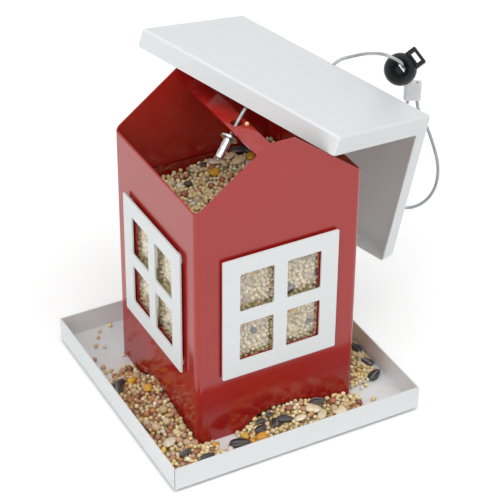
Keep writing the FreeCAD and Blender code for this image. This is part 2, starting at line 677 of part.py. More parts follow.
def make_stop(strap_point, lean):
    """Stop ferrule and washer on the cable end below the strap, with that end of the cable."""
    along = Placement(strap_point, Rotation(Z_AXIS, lean))
    washer_top = -size("washer_drop")
    washer_low = washer_top - size("washer_thickness")
    stop_low = washer_low - size("stop_length")

    washer = new_body("stop_washer")
    ring = new_sketch(washer, "XY_Plane", "ring", along="-washer_drop - washer_thickness")
    draw_circle(ring, "washer_radius")
    draw_circle(ring, "cable_radius + washer_play")
    add_feature(washer, "Pad", "disc", ring, "washer_thickness")
    washer.Placement = along

    stop = new_body("stop_ferrule")
    barrel = new_sketch(stop, "XY_Plane", "barrel",
                        along="-washer_drop - washer_thickness - stop_length")
    draw_circle(barrel, "stop_radius")
    draw_circle(barrel, "cable_radius + cable_play")
    sleeve = add_feature(stop, "Pad", "sleeve", barrel, "stop_length")
    chamfer = stop.newObject("PartDesign::Chamfer", "stop_ferrule_chamfer")
    rims = [f"Edge{i}" for i, edge in enumerate(sleeve.Shape.Edges, start=1)
            if len(edge.Vertexes) == 1 and edge.Curve.Radius > size("cable_radius") + 0.5]
    chamfer.Base = (sleeve, rims)
    bind(chamfer, "Size", "stop_chamfer")
    doc.recompute()
    crimps = new_sketch(stop, "XZ_Plane", "crimps")
    for share in (0.3, 0.7):
        centre = stop_low + share * size("stop_length")
        for sign in (-1, 1):
            inner = sign * (size("stop_radius") - size("crimp_depth"))
            outer = sign * 2 * size("stop_radius")
            low = centre - size("crimp_length") / 2
            high = centre + size("crimp_length") / 2
            draw_polygon(crimps, [Vector(inner, low), Vector(outer, low),
                                  Vector(outer, high), Vector(inner, high)])
    add_feature(stop, "Pocket", "crimp_cut", crimps, "4 * stop_radius", both_ways=True)
    stop.Placement = along

    cable = doc.addObject("Part::Cylinder", "cable_end")
    cable.Label = "cable_end"
    bind(cable, "Radius", "cable_radius")
    bind(cable, "Height", "washer_drop + washer_thickness + stop_length + cable_tail")
    cable.Placement = along.multiply(Placement(Vector(0, 0, stop_low - size("cable_tail")), Rotation()))
    nodes.append(cable)


def make_lock_body(place):
    """Ball with a dished cable way and a well for the plunger."""
    body = new_body("cord_lock_body")
    half = new_sketch(body, "XZ_Plane", "half_section")
    radius = size("lock_radius")
    half.addGeometry(Part.Arc(Vector(0, -radius), Vector(radius, 0), Vector(0, radius)))
    half.addGeometry(Part.LineSegment(Vector(0, radius), Vector(0, -radius)))
    ball = body.newObject("PartDesign::Revolution", "cord_lock_body_ball")
    ball.Profile = half
    ball.ReferenceAxis = (half, ["V_Axis"])
    ball.Angle = 360.0
    doc.recompute()
    mouth = math.sqrt(radius ** 2 - size("lock_dish") ** 2)
    throat = mouth - size("lock_dish_depth")
    bore = size("lock_bore")
    way = new_sketch(body, "XZ_Plane", "way_section")
    draw_polygon(way, [
        Vector(0, -radius), Vector(size("lock_dish"), -radius), Vector(size("lock_dish"), -mouth),
        Vector(bore, -throat), Vector(bore, throat), Vector(size("lock_dish"), mouth),
        Vector(size("lock_dish"), radius), Vector(0, radius),
    ])
    cut = body.newObject("PartDesign::Groove", "cord_lock_body_way")
    cut.Profile = way
    cut.ReferenceAxis = (way, ["V_Axis"])
    cut.Angle = 360.0
    doc.recompute()
    well = new_sketch(body, "YZ_Plane", "well", along="-plunger_foot - plunger_travel - plunger_play")
    draw_rectangle(well, "plunger_width + 2 * plunger_play", "plunger_thickness + 2 * plunger_play")
    add_feature(body, "Pocket", "well_cut", well, "3 * lock_radius", reverse=True)
    seat = new_sketch(body, "YZ_Plane", "spring_seat", along="-plunger_foot - spring_room")
    draw_circle(seat, "spring_radius + spring_wire + spring_seat_play")
    add_feature(body, "Pocket", "spring_seat_cut", seat, "spring_room", reverse=True)
    body.Placement = place
    return body


def make_plunger(place):
    """Flat plunger with a cable window and a slotted tab."""
    body = new_body("cord_lock_plunger")
    plate = new_sketch(body, "XY_Plane", "plate")
    wide = size("plunger_width") / 2
    foot = -size("plunger_foot")
    reach = size("plunger_reach")
    draw_polygon(plate, [Vector(foot, -wide), Vector(reach, -wide), Vector(reach, wide), Vector(foot, wide)])
    slab = add_feature(body, "Pad", "slab", plate, "plunger_thickness", both_ways=True)
    add_fillet(body, "corners", slab, "plunger_corner",
               lambda edge: runs_along(edge, Z_AXIS) and middle(edge).x > 0)
    windows = new_sketch(body, "XY_Plane", "windows")
    near = foot + size("plunger_web")
    bore = size("lock_bore")
    draw_polygon(windows, [Vector(near, -bore), Vector(near + size("plunger_window"), -bore),
                           Vector(near + size("plunger_window"), bore), Vector(near, bore)])
    slot_far = reach - size("tab_rim")
    slot_near = slot_far - size("tab_slot_height")
    slot_half = size("tab_slot_width") / 2
    draw_polygon(windows, [Vector(slot_near, -slot_half), Vector(slot_far, -slot_half),
                           Vector(slot_far, slot_half), Vector(slot_near, slot_half)])
    add_feature(body, "Pocket", "window_cut", windows, "2 * plunger_thickness", both_ways=True)
    body.Placement = place
    return body


def biarc(start, start_way, end, end_way):
    """Two arcs that leave one point and reach the other along given directions."""
    span = end - start
    ways = start_way + end_way
    share = 2 * (1 - start_way.dot(end_way))
    reach = (math.sqrt(span.dot(ways) ** 2 + share * span.dot(span)) - span.dot(ways)) / share
    joint = (start + end + (start_way - end_way) * reach) * 0.5
    arcs = []
    for first, way, last in ((start, start_way, joint), (end, end_way * -1, joint)):
        chord = last - first
        lean = Vector(way).normalize()
        half_turn = lean.getAngle(chord)
        side = chord - lean * lean.dot(chord)
        side.normalize()
        radius = chord.Length / (2 * math.sin(half_turn))
        bulge = first + lean * (radius * math.sin(half_turn)) + side * (radius * (1 - math.cos(half_turn)))
        arcs.append(Part.Arc(first, bulge, last) if way is start_way else Part.Arc(last, bulge, first))
    return arcs


def make_lock_spring(place):
    """Small compression spring between the plunger and the ball, as one unbroken wire."""
    wire_radius = size("spring_wire")
    turns = size("spring_turns")
    length = size("spring_room") - 2 * wire_radius - size("spring_gap")
    quarters = int(round(4 * turns))
    climb = length / turns
    start_x = -size("plunger_foot") - size("spring_room") + wire_radius

    def on_helix(quarter):
        angle = quarter * math.pi / 2
        arm = Vector(0, math.cos(angle), math.sin(angle)) * size("spring_radius")
        way = Vector(climb / (2 * math.pi), -math.sin(angle) * size("spring_radius"),
                     math.cos(angle) * size("spring_radius"))
        return Vector(start_x + climb * quarter / 4, 0, 0) + arm, way.normalize()

    edges = []
    for quarter in range(quarters):
        point, way = on_helix(quarter)
        following, following_way = on_helix(quarter + 1)
        edges += [arc.toShape() for arc in biarc(point, way, following, following_way)]
    path = Part.Wire(edges)
    point, way = on_helix(0)
    ring = Part.Wire(Part.makeCircle(wire_radius, point, way))
    coil = path.makePipeShell([ring], True, False)
    samples = path.discretize(Number=40 * quarters)
    spacing = path.Length / len(samples)
    apart = int(math.pi * size("spring_radius") / spacing)
    least = min((samples[i] - samples[j]).Length for i in range(len(samples))
                for j in range(i + apart, len(samples))) - 2 * wire_radius
    print("cord_lock_spring least gap", round(least, 2), "volume share",
          round(coil.Volume / (math.pi * wire_radius ** 2 * path.Length), 4))
    spring = doc.addObject("Part::Feature", "cord_lock_spring")
    spring.Label = "cord_lock_spring"
    spring.Shape = coil
    spring.Placement = place
    nodes.append(spring)
    return spring


def make_loop_ferrule(place):
    """Block with two bores that closes the hanging loop."""
    body = new_body("loop_ferrule")
    plan = new_sketch(body, "XY_Plane", "plan")
    draw_rectangle(plan, "ferrule_width", "ferrule_depth")
    block = add_feature(body, "Pad", "block", plan, "ferrule_height", both_ways=True)
    add_fillet(body, "corners", block, "ferrule_corner", lambda edge: runs_along(edge, Z_AXIS))
    bores = new_sketch(body, "XY_Plane", "bores")
    for sign in (-1, 1):
        draw_circle(bores, "cable_radius + cable_play", Vector(sign * size("ferrule_strands") / 2, 0))
    add_feature(body, "Pocket", "bore_cut", bores, "2 * ferrule_height", both_ways=True)
    body.Placement = place
    return body


def make_hanging_cable(roof_place):
    """The whole cable with its stop, cord lock and hanging loop."""
    hole = roof_place.Base
    strap_point = Vector(0, 0, strap_top - size("strap_thickness") / 2)
    heading = Vector(hole.x, hole.y, 0).normalize()
    lean = math.radians(size("end_lean_angle"))
    end_way = heading * math.sin(lean) + Z_AXIS * math.cos(lean)
    make_stop(strap_point, end_way)

    from_strap = [strap_point, strap_point + end_way * size("strap_lead")]
    from_strap += [strap_point + Vector(*step) for step in ROUTE_FROM_STRAP]
    tail = hole + Vector(*ROOF_TAIL)
    to_lock = [hole + Vector(*step) for step in ROUTE_TO_LOCK]
    through_hole = Vector(to_lock[0] - tail).normalize()
    under_roof = [hole + Vector(*step) for step in ROUTE_UNDER_ROOF]
    under_roof.append(tail - through_hole * size("ridge_lead"))
    make_cable("cable_under_roof", from_strap + under_roof + [tail])

    lock_centre = hole + Vector(*LOCK_CENTRE)
    way = Vector(*LOCK_WAY).normalize()
    tab = Vector(*LOCK_TAB).normalize()
    lock_place = frame_of(tab, way, lock_centre)
    make_lock_body(lock_place)
    make_plunger(lock_place)
    make_lock_spring(lock_place)

    across = Vector(*FERRULE_ACROSS).normalize()
    ferrule_centre = hole + Vector(*FERRULE_CENTRE)
    make_loop_ferrule(frame_of(across, Z_AXIS, ferrule_centre))
    half_height = Z_AXIS * (size("ferrule_height") / 2)
    near_strand = ferrule_centre - across * (size("ferrule_strands") / 2)
    far_strand = ferrule_centre + across * (size("ferrule_strands") / 2)

    in_lock = [lock_centre + way * run + tab * offset for run, offset in ROUTE_IN_LOCK]
    to_ferrule = [hole + Vector(*step) for step in ROUTE_TO_FERRULE]
    make_cable("cable_to_lock", [tail] + to_lock + in_lock + to_ferrule
               + [near_strand + half_height + Z_AXIS * size("lead_above"), near_strand - half_height])

    loop = [hole + Vector(*step) for step in ROUTE_LOOP]
    cut_end = far_strand + half_height - Z_AXIS * size("ferrule_recess")
    below = half_height + Z_AXIS * size("lead_below")
    make_cable("cable_loop", [cut_end, far_strand - below] + loop
               + [near_strand - below, near_strand - half_height])


make_tray()
make_hopper()
make_windows()
make_strap()
roof = make_roof()
make_hanging_cable(roof.Placement)
doc.recompute()

for item in doc.Objects:
    if "Invalid" in item.State or "Error" in item.State:
        raise RuntimeError(f"{item.Label} failed: {item.State}")
for node in nodes:
    if node.Shape.isNull() or not node.Shape.isValid():
        raise RuntimeError(f"{node.Label} has no valid shape")

os.makedirs("parts", exist_ok=True)
for node in nodes:
    node.Shape.exportStep(f"parts/{node.Label}.step")
    print(node.Label, len(node.Shape.Solids), round(node.Shape.Volume, 1))
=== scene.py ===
"""Looks of a house-shaped hanging bird feeder: paint, panes, cable, cord lock and loose seed.

Lengths are millimetres of the shared frame and become metres where a mesh is made. The studio's are metres.
"""

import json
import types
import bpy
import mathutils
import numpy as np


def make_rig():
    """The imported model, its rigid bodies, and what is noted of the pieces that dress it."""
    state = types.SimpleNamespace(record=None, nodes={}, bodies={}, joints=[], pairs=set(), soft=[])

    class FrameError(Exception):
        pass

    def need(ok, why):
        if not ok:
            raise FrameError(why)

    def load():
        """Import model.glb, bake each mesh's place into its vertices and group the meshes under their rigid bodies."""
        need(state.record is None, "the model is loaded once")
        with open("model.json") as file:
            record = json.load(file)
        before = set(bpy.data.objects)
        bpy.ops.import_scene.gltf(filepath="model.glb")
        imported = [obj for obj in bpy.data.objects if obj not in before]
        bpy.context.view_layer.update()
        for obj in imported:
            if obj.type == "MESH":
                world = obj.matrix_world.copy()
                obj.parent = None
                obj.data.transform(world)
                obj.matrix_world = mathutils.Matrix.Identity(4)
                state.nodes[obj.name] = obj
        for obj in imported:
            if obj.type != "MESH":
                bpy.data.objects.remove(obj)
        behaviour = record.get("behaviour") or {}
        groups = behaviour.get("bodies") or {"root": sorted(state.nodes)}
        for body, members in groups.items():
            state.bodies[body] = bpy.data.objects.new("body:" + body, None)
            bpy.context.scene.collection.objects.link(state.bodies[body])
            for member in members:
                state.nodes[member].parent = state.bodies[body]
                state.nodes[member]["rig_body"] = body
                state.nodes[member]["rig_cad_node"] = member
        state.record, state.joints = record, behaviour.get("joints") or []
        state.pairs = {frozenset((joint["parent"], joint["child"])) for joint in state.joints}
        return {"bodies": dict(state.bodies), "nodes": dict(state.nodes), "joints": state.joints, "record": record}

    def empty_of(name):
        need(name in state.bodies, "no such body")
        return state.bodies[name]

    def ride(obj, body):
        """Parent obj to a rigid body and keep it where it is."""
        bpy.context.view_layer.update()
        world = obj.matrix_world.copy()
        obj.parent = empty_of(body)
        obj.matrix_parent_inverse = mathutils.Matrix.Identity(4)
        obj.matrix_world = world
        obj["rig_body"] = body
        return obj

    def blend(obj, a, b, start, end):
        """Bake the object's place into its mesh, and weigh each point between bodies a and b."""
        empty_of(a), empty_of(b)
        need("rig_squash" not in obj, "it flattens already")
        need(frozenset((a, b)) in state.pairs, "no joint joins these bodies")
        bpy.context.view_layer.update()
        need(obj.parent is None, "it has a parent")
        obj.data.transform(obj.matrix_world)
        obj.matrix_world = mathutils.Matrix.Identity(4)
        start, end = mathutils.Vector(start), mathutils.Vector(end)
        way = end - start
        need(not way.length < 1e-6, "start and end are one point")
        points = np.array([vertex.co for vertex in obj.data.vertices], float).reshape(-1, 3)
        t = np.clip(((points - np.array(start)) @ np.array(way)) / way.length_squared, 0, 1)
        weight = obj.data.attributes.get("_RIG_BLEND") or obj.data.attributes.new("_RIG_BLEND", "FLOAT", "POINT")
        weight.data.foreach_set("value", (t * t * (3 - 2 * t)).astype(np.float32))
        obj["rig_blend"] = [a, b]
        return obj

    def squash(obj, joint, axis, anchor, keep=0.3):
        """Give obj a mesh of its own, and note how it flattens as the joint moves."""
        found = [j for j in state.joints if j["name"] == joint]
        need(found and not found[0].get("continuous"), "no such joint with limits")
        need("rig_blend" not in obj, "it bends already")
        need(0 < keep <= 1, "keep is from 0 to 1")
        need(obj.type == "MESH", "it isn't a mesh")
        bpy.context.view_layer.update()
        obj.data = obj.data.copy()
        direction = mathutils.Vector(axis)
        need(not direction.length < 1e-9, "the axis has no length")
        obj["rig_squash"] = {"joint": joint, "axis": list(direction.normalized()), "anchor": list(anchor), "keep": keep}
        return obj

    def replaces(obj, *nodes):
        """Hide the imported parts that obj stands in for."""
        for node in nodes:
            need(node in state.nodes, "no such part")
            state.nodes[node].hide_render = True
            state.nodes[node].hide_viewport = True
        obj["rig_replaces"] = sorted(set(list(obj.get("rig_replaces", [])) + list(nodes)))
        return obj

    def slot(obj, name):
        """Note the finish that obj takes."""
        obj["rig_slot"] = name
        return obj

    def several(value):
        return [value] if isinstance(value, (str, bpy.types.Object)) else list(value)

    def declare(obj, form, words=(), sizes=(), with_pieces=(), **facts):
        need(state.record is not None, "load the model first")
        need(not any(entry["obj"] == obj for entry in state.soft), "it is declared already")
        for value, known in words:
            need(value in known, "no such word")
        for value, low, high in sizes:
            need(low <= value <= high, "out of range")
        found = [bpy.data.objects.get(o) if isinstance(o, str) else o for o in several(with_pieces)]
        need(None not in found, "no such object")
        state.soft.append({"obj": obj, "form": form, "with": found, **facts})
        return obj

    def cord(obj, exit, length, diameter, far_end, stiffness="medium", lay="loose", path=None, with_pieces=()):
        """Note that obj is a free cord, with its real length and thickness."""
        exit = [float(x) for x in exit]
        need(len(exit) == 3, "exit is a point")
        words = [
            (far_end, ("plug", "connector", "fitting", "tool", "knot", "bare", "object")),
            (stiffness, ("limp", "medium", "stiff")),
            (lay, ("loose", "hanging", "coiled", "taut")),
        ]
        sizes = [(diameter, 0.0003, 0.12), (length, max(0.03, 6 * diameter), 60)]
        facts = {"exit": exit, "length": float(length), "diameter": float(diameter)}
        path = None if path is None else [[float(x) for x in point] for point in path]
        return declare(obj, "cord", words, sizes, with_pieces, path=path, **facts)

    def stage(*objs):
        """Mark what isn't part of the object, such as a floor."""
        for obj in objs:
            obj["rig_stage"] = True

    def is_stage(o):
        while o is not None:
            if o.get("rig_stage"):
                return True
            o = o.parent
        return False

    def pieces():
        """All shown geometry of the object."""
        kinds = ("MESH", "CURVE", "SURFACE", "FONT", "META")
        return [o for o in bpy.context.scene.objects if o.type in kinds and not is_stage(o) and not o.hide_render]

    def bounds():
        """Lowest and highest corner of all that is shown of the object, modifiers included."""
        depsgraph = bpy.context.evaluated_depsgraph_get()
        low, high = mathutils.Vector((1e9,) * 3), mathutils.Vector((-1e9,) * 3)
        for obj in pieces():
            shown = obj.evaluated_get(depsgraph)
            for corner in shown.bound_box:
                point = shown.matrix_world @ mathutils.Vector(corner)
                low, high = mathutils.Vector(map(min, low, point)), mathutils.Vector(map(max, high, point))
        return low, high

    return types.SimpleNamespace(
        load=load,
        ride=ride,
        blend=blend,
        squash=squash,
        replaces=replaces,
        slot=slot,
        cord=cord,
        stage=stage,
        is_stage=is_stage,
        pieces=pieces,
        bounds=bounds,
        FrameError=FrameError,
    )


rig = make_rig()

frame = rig.load()
CAD_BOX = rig.bounds()

import json
import logging
import math
from dataclasses import dataclass, field
from enum import Enum
from typing import Callable

import bmesh
import bpy
import numpy as np
from mathutils import Matrix, Quaternion, Vector, noise

LOG = logging.getLogger("bird_feeder")
MM = 0.001
WHITE = (1.0, 1.0, 1.0, 1.0)
SIDES = ("front", "right", "back", "left")
DRAW_SEED = 41
FULL_TURN = 6.28
Colour = tuple[float, float, float]
Place = tuple[float, float, float]
Span = tuple[float, float]
Waves = tuple[Place, ...]
Material = bpy.types.Material
Node = bpy.types.Node
Piece = bpy.types.Object
Socket = bpy.types.NodeSocket
Tree = bpy.types.NodeTree


class SlotName(Enum):
    """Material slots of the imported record."""

    RED_PAINT = "red_paint"
    WHITE_PAINT = "white_paint"
    WHITE_PLASTIC = "white_plastic"
    CLEAR_PLASTIC = "clear_plastic"
    BRIGHT_STEEL = "bright_steel"
    BRIGHT_ALUMINIUM = "bright_aluminium"
    COATED_CABLE = "coated_cable"
    BLACK_PLASTIC = "black_plastic"
    MILKY_PLASTIC = "milky_plastic"


class BodyName(Enum):
    """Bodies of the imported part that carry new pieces."""

    HOUSE = "house"
    ROOF = "lifted_roof"


class SeedForm(Enum):
    """Shapes that a seed can have."""

    GRAIN = "grain"
    CHIP = "chip"
    FLAKE = "flake"
    HUSK = "husk"


def opaque(colour: Colour) -> tuple[float, float, float, float]:
    """The colour with full alpha."""
    return (*colour, 1.0)


def upright(height: float) -> Vector:
    """A step straight up."""
    return Vector((0.0, 0.0, height))


def wall_turn(wall: int) -> Matrix:
    """The turn from the front wall to a wall by its number."""
    return Matrix.Rotation(math.radians(360.0 / len(SIDES) * wall), 3, "Z")


def ripples(x: float, y: float, waves: Waves) -> float:
    """Smooth lumps over a plane, from waves of a height and a size at levels of their own."""
    return sum(high * noise.noise(Vector((x / size, y / size, level))) for high, size, level in waves)


def read_mesh(builder: bmesh.types.BMesh) -> tuple[np.ndarray, np.ndarray]:
    """Read a bmesh in triangles and free it.

    Args:
        builder: the bmesh.

    Returns:
        The points and the triangles.
    """
    bmesh.ops.triangulate(builder, faces=builder.faces[:])
    builder.verts.index_update()
    points = np.array([vertex.co[:] for vertex in builder.verts])
    faces = np.array([[vertex.index for vertex in face.verts] for face in builder.faces])
    builder.free()
    return points, faces


def link_mesh(name: str, mesh: bpy.types.Mesh, material: Material) -> Piece:
    """Put a mesh into the scene.

    Args:
        name: name of the piece.
        mesh: its mesh.
        material: its material.

    Returns:
        The object.
    """
    piece = bpy.data.objects.new(name, mesh)
    piece.data.materials.append(material)
    bpy.context.scene.collection.objects.link(piece)
    LOG.info("built %s with %d faces", name, len(mesh.polygons))
    return piece


# Shader tools


class NodeDesk:
    """Places and links the nodes of one tree."""

    mix_inputs: tuple[int, int, int] = (0, 6, 7)
    mix_result: int = 2

    def __init__(self, tree: Tree) -> None:
        """Keep the tree that nodes are placed in."""
        self.tree = tree

    def add(self, kind: str, *values: object, **settings: object) -> Node:
        """Place a node and feed its first inputs.

        Args:
            kind: Blender's name of the node type, without ShaderNode.
            values: sockets or plain values for the inputs, in order.
            settings: properties of the node.

        Returns:
            The new node.
        """
        item = self.tree.nodes.new(f"ShaderNode{kind}")
        for name, value in settings.items():
            setattr(item, name, value)
        for value, socket in zip(values, item.inputs):
            self.join(value, socket)
        return item

    def join(self, value: object, socket: Socket) -> None:
        """Link a socket to another, or set a plain value on it.

        Args:
            value: an output socket or a plain value.
            socket: the input socket.
        """
        if isinstance(value, Socket):
            self.tree.links.new(value, socket)
        else:
            socket.default_value = value

    def feed(self, item: Node, **values: object) -> None:
        """Feed a node's inputs by their names, with _ for a space."""
        for name, value in values.items():
            self.join(value, item.inputs[name.replace("_", " ")])

    def sums(self, operation: str, first: object, second: object = 0.0, clamp: bool = False) -> Socket:
        """Result of a Math node, kept between 0 and 1 where it is clamped."""
        return self.add("Math", first, second, operation=operation, use_clamp=clamp).outputs[0]

    def mix(self, share: object, first: object, second: object, blend: str = "MIX") -> Socket:
        """Place a colour Mix node.

        Args:
            share: share of the second colour.
            first: first colour or socket.
            second: second colour or socket.
            blend: blend type.

        Returns:
            The colour socket.
        """
        item = self.add("Mix", data_type="RGBA", blend_type=blend)
        for index, value in zip(self.mix_inputs, (share, first, second)):
            self.join(value, item.inputs[index])
        return item.outputs[self.mix_result]

    def cloud(self, scale: object, detail: float, vector: object = None, rough: float = 0.5) -> Socket:
        """Place a noise texture in the part's own coordinates.

        Args:
            scale: features per metre, or a socket.
            detail: octaves of finer noise.
            vector: coordinates to use in place of the object's.
            rough: weight of the finer octaves.

        Returns:
            The value socket.
        """
        if vector is None:
            vector = self.add("TexCoord").outputs["Object"]
        item = self.add("TexNoise")
        self.feed(item, Vector=vector, Scale=scale, Detail=detail, Roughness=rough)
        return item.outputs[0]

    def spread(self, value: Socket, low: float, high: float,
               to_low: float = 0.0, to_high: float = 1.0) -> Socket:
        """Result of a clamped Map Range node that takes low to to_low and high to to_high."""
        return self.add("MapRange", value, low, high, to_low, to_high, clamp=True).outputs[0]


def empty_desk(holder: bpy.types.ID) -> NodeDesk:
    """Clear the nodes of a material or world.

    Args:
        holder: the material or world.

    Returns:
        The desk of its tree.
    """
    holder.use_nodes = True
    holder.node_tree.nodes.clear()
    return NodeDesk(holder.node_tree)


class EffectLibrary:
    """Shader groups that several finishes place with their own values."""

    socket_kinds: dict[int, str] = {1: "Float", 3: "Vector", 4: "Color"}
    peel_share: float = 0.35
    line_share: float = 0.3
    dent_scale: float = 420.0
    edge_radius: float = 0.5 * MM
    edge_samples: int = 4

    def __init__(self) -> None:
        """Build each group once."""
        self.orange_peel = self._orange_peel()
        self.tone_drift = self._tone_drift()
        self.settled_dust = self._settled_dust()
        self.edge_wear_and_highlight = self._edge_wear_and_highlight()
        self.drawn_lines = self._drawn_lines()

    def _start(self, name: str, inputs: dict[str, object], outputs: dict[str, str]) -> tuple:
        """Start a group with its sockets.

        Args:
            name: name of the group.
            inputs: default by input name, whose length gives the socket's kind.
            outputs: socket kind by output name.

        Returns:
            The group's desk, its input sockets and its output sockets.
        """
        tree = bpy.data.node_groups.new(name, "ShaderNodeTree")
        for label, value in inputs.items():
            kind = f"NodeSocket{self.socket_kinds[np.size(value)]}"
            tree.interface.new_socket(name=label, in_out="INPUT", socket_type=kind).default_value = value
        for label, kind in outputs.items():
            tree.interface.new_socket(name=label, in_out="OUTPUT", socket_type=f"NodeSocket{kind}")
        given = tree.nodes.new("NodeGroupInput")
        result = tree.nodes.new("NodeGroupOutput")
        return NodeDesk(tree), given.outputs, result.inputs

    def _orange_peel(self) -> Tree:
        """Fine ripples of sprayed paint or moulded plastic, over a slow waviness.

        Returns:
            The group.
        """
        desk, given, result = self._start(
            "orange_peel", {"Fine Scale": 900.0, "Wave Scale": 60.0}, {"Height": "Float"})
        fine = desk.cloud(given["Fine Scale"], detail=2.0)
        wave = desk.cloud(given["Wave Scale"], detail=1.0)
        height = desk.sums("ADD", desk.sums("MULTIPLY", fine, self.peel_share), wave)
        desk.join(height, result["Height"])
        return desk.tree

    def _tone_drift(self) -> Tree:
        """Slow drift between a base colour and a shade of it.

        Returns:
            The group.
        """
        desk, given, result = self._start(
            "tone_drift", {"Base": WHITE, "Shade": WHITE, "Scale": 20.0},
            {"Colour": "Color", "Mask": "Float"})
        mask = desk.spread(desk.cloud(given["Scale"], detail=4.0), low=0.36, high=0.64)
        desk.join(desk.mix(mask, given["Base"], given["Shade"]), result["Colour"])
        desk.join(mask, result["Mask"])
        return desk.tree

    def _settled_dust(self) -> Tree:
        """Patchy dust on faces that look upwards.

        Returns:
            The group.
        """
        desk, given, result = self._start("settled_dust", {"Amount": 0.2, "Scale": 120.0}, {"Mask": "Float"})
        facing = desk.add("SeparateXYZ", desk.add("NewGeometry").outputs["Normal"])
        upward = desk.spread(facing.outputs["Z"], low=0.35, high=1.0)
        patches = desk.spread(desk.cloud(given["Scale"], detail=5.0, rough=0.65), low=0.48, high=0.74)
        mask = desk.sums("MULTIPLY", desk.sums("MULTIPLY", upward, patches), given["Amount"])
        desk.join(mask, result["Mask"])
        return desk.tree

    def _edge_wear_and_highlight(self) -> Tree:
        """Patchy mask along folds and cut edges, used for worn roughness and for a painted edge highlight.

        Returns:
            The group.
        """
        desk, given, result = self._start("edge_wear_and_highlight", {"Amount": 0.3, "Scale": 300.0}, {"Mask": "Float"})
        rounded = desk.add("Bevel", self.edge_radius, samples=self.edge_samples).outputs[0]
        normal = desk.add("NewGeometry").outputs["Normal"]
        across = desk.add("VectorMath", rounded, normal, operation="DOT_PRODUCT").outputs["Value"]
        edge = desk.spread(across, low=0.985, high=0.80)
        patches = desk.spread(desk.cloud(given["Scale"], detail=3.0), low=0.42, high=0.62)
        mask = desk.sums("MULTIPLY", desk.sums("MULTIPLY", edge, patches), given["Amount"])
        desk.join(mask, result["Mask"])
        return desk.tree

    def _drawn_lines(self) -> Tree:
        """Fine lines of drawn or turned metal, with small dents.

        Returns:
            The group.
        """
        desk, given, result = self._start(
            "drawn_lines", {"Stretch": (1.0, 1.0, 1.0), "Scale": 1500.0},
            {"Height": "Float", "Mask": "Float"})
        place = desk.add("TexCoord").outputs["Object"]
        stretched = desk.add("VectorMath", place, given["Stretch"], operation="MULTIPLY").outputs[0]
        lines = desk.cloud(given["Scale"], detail=2.0, vector=stretched)
        dents = desk.cloud(self.dent_scale, detail=1.0)
        desk.join(desk.sums("ADD", desk.sums("MULTIPLY", lines, self.line_share), dents), result["Height"])
        desk.join(desk.spread(lines, low=0.35, high=0.65), result["Mask"])
        return desk.tree


class FinishBench:
    """Starts one material around a Principled shader."""

    def __init__(self, name: str, effects: EffectLibrary) -> None:
        """Make a material with a shader and an output.

        Args:
            name: name of the material.
            effects: shared shader groups.
        """
        self.effects = effects
        self.material = bpy.data.materials.new(name)
        self.desk = empty_desk(self.material)
        self.shader = self.desk.add("BsdfPrincipled")
        self.output = self.desk.add("OutputMaterial", self.shader.outputs[0])

    def effect(self, tree: Tree, **values: object) -> Node:
        """Place a shared group.

        Args:
            tree: the group's tree.
            values: input values by name, with _ for a space.

        Returns:
            The group node.
        """
        item = self.desk.add("Group", node_tree=tree)
        self.desk.feed(item, **values)
        return item

    def set(self, **values: object) -> None:
        """Set or link the shader's sockets, with _ for a space in their names."""
        self.desk.feed(self.shader, **values)

    def roughen(self, mask: Socket, gain: float, level: float) -> None:
        """Set the roughness to a level, changed by the gain under the full mask."""
        change = self.desk.sums("MULTIPLY", mask, gain)
        self.set(Roughness=self.desk.sums("ADD", change, level, clamp=True))

    def bump(self, height: Socket, strength: float, depth: float) -> None:
        """Feed a height to the shader's normal.

        Args:
            height: height socket.
            strength: strength of the effect.
            depth: height of a full step in metres.
        """
        item = self.desk.add("Bump")
        self.desk.feed(item, Strength=strength, Distance=depth, Height=height)
        self.set(Normal=item.outputs[0])

    def peel(self, fine: float, wave: float, strength: float, depth: float) -> None:
        """Lay an orange peel on the surface, with ripples and waves per metre and a depth in metres."""
        skin = self.effect(self.effects.orange_peel, Fine_Scale=fine, Wave_Scale=wave)
        self.bump(skin.outputs["Height"], strength, depth)


# Finishes


@dataclass(frozen=True)
class SlotFinish:
    """What the finishes of the record's slots share."""

    slot: SlotName
    colour: Colour
    shade: Colour
    roughness: float

    def start(self, effects: EffectLibrary, scale: float) -> tuple[FinishBench, Socket, Socket]:
        """Start the material with a drift between its two colours.

        Args:
            effects: shared shader groups.
            scale: patches of the drift per metre.

        Returns:
            The bench, the drifting colour and its mask.
        """
        bench = FinishBench(self.slot.value, effects)
        drift = bench.effect(
            effects.tone_drift, Base=opaque(self.colour), Shade=opaque(self.shade), Scale=scale)
        return bench, drift.outputs["Colour"], drift.outputs["Mask"]


@dataclass(frozen=True)
class PaintFinish(SlotFinish):
    """Sprayed enamel on sheet steel."""

    # Lighter colour painted along folds and cut edges as a highlight.
    edge_highlight: Colour
    ior: float
    dust: float
    dust_colour: Colour = (0.60, 0.53, 0.43)
    worn_matt: float = 0.35
    drift_matt: float = 0.03

    def build(self, effects: EffectLibrary) -> Material:
        """Make the material.

        Args:
            effects: shared shader groups.

        Returns:
            The material.
        """
        bench, colour, drift = self.start(effects, scale=16.0)
        desk = bench.desk
        edge = bench.effect(effects.edge_wear_and_highlight, Amount=0.5, Scale=260.0).outputs["Mask"]
        dust = bench.effect(effects.settled_dust, Amount=self.dust, Scale=150.0).outputs["Mask"]
        # Painted highlight: folds and cut edges are mixed toward a lighter colour.
        edge_lit_colour = desk.mix(edge, colour, opaque(self.edge_highlight))
        bench.set(Base_Color=desk.mix(dust, edge_lit_colour, opaque(self.dust_colour)), IOR=self.ior)
        worn = desk.sums("MULTIPLY", desk.sums("ADD", dust, edge), self.worn_matt)
        drifting = desk.sums("MULTIPLY", drift, self.drift_matt)
        bench.roughen(desk.sums("ADD", worn, drifting), gain=1.0, level=self.roughness)
        bench.peel(fine=700.0, wave=45.0, strength=0.05, depth=0.3 * MM)
        return bench.material


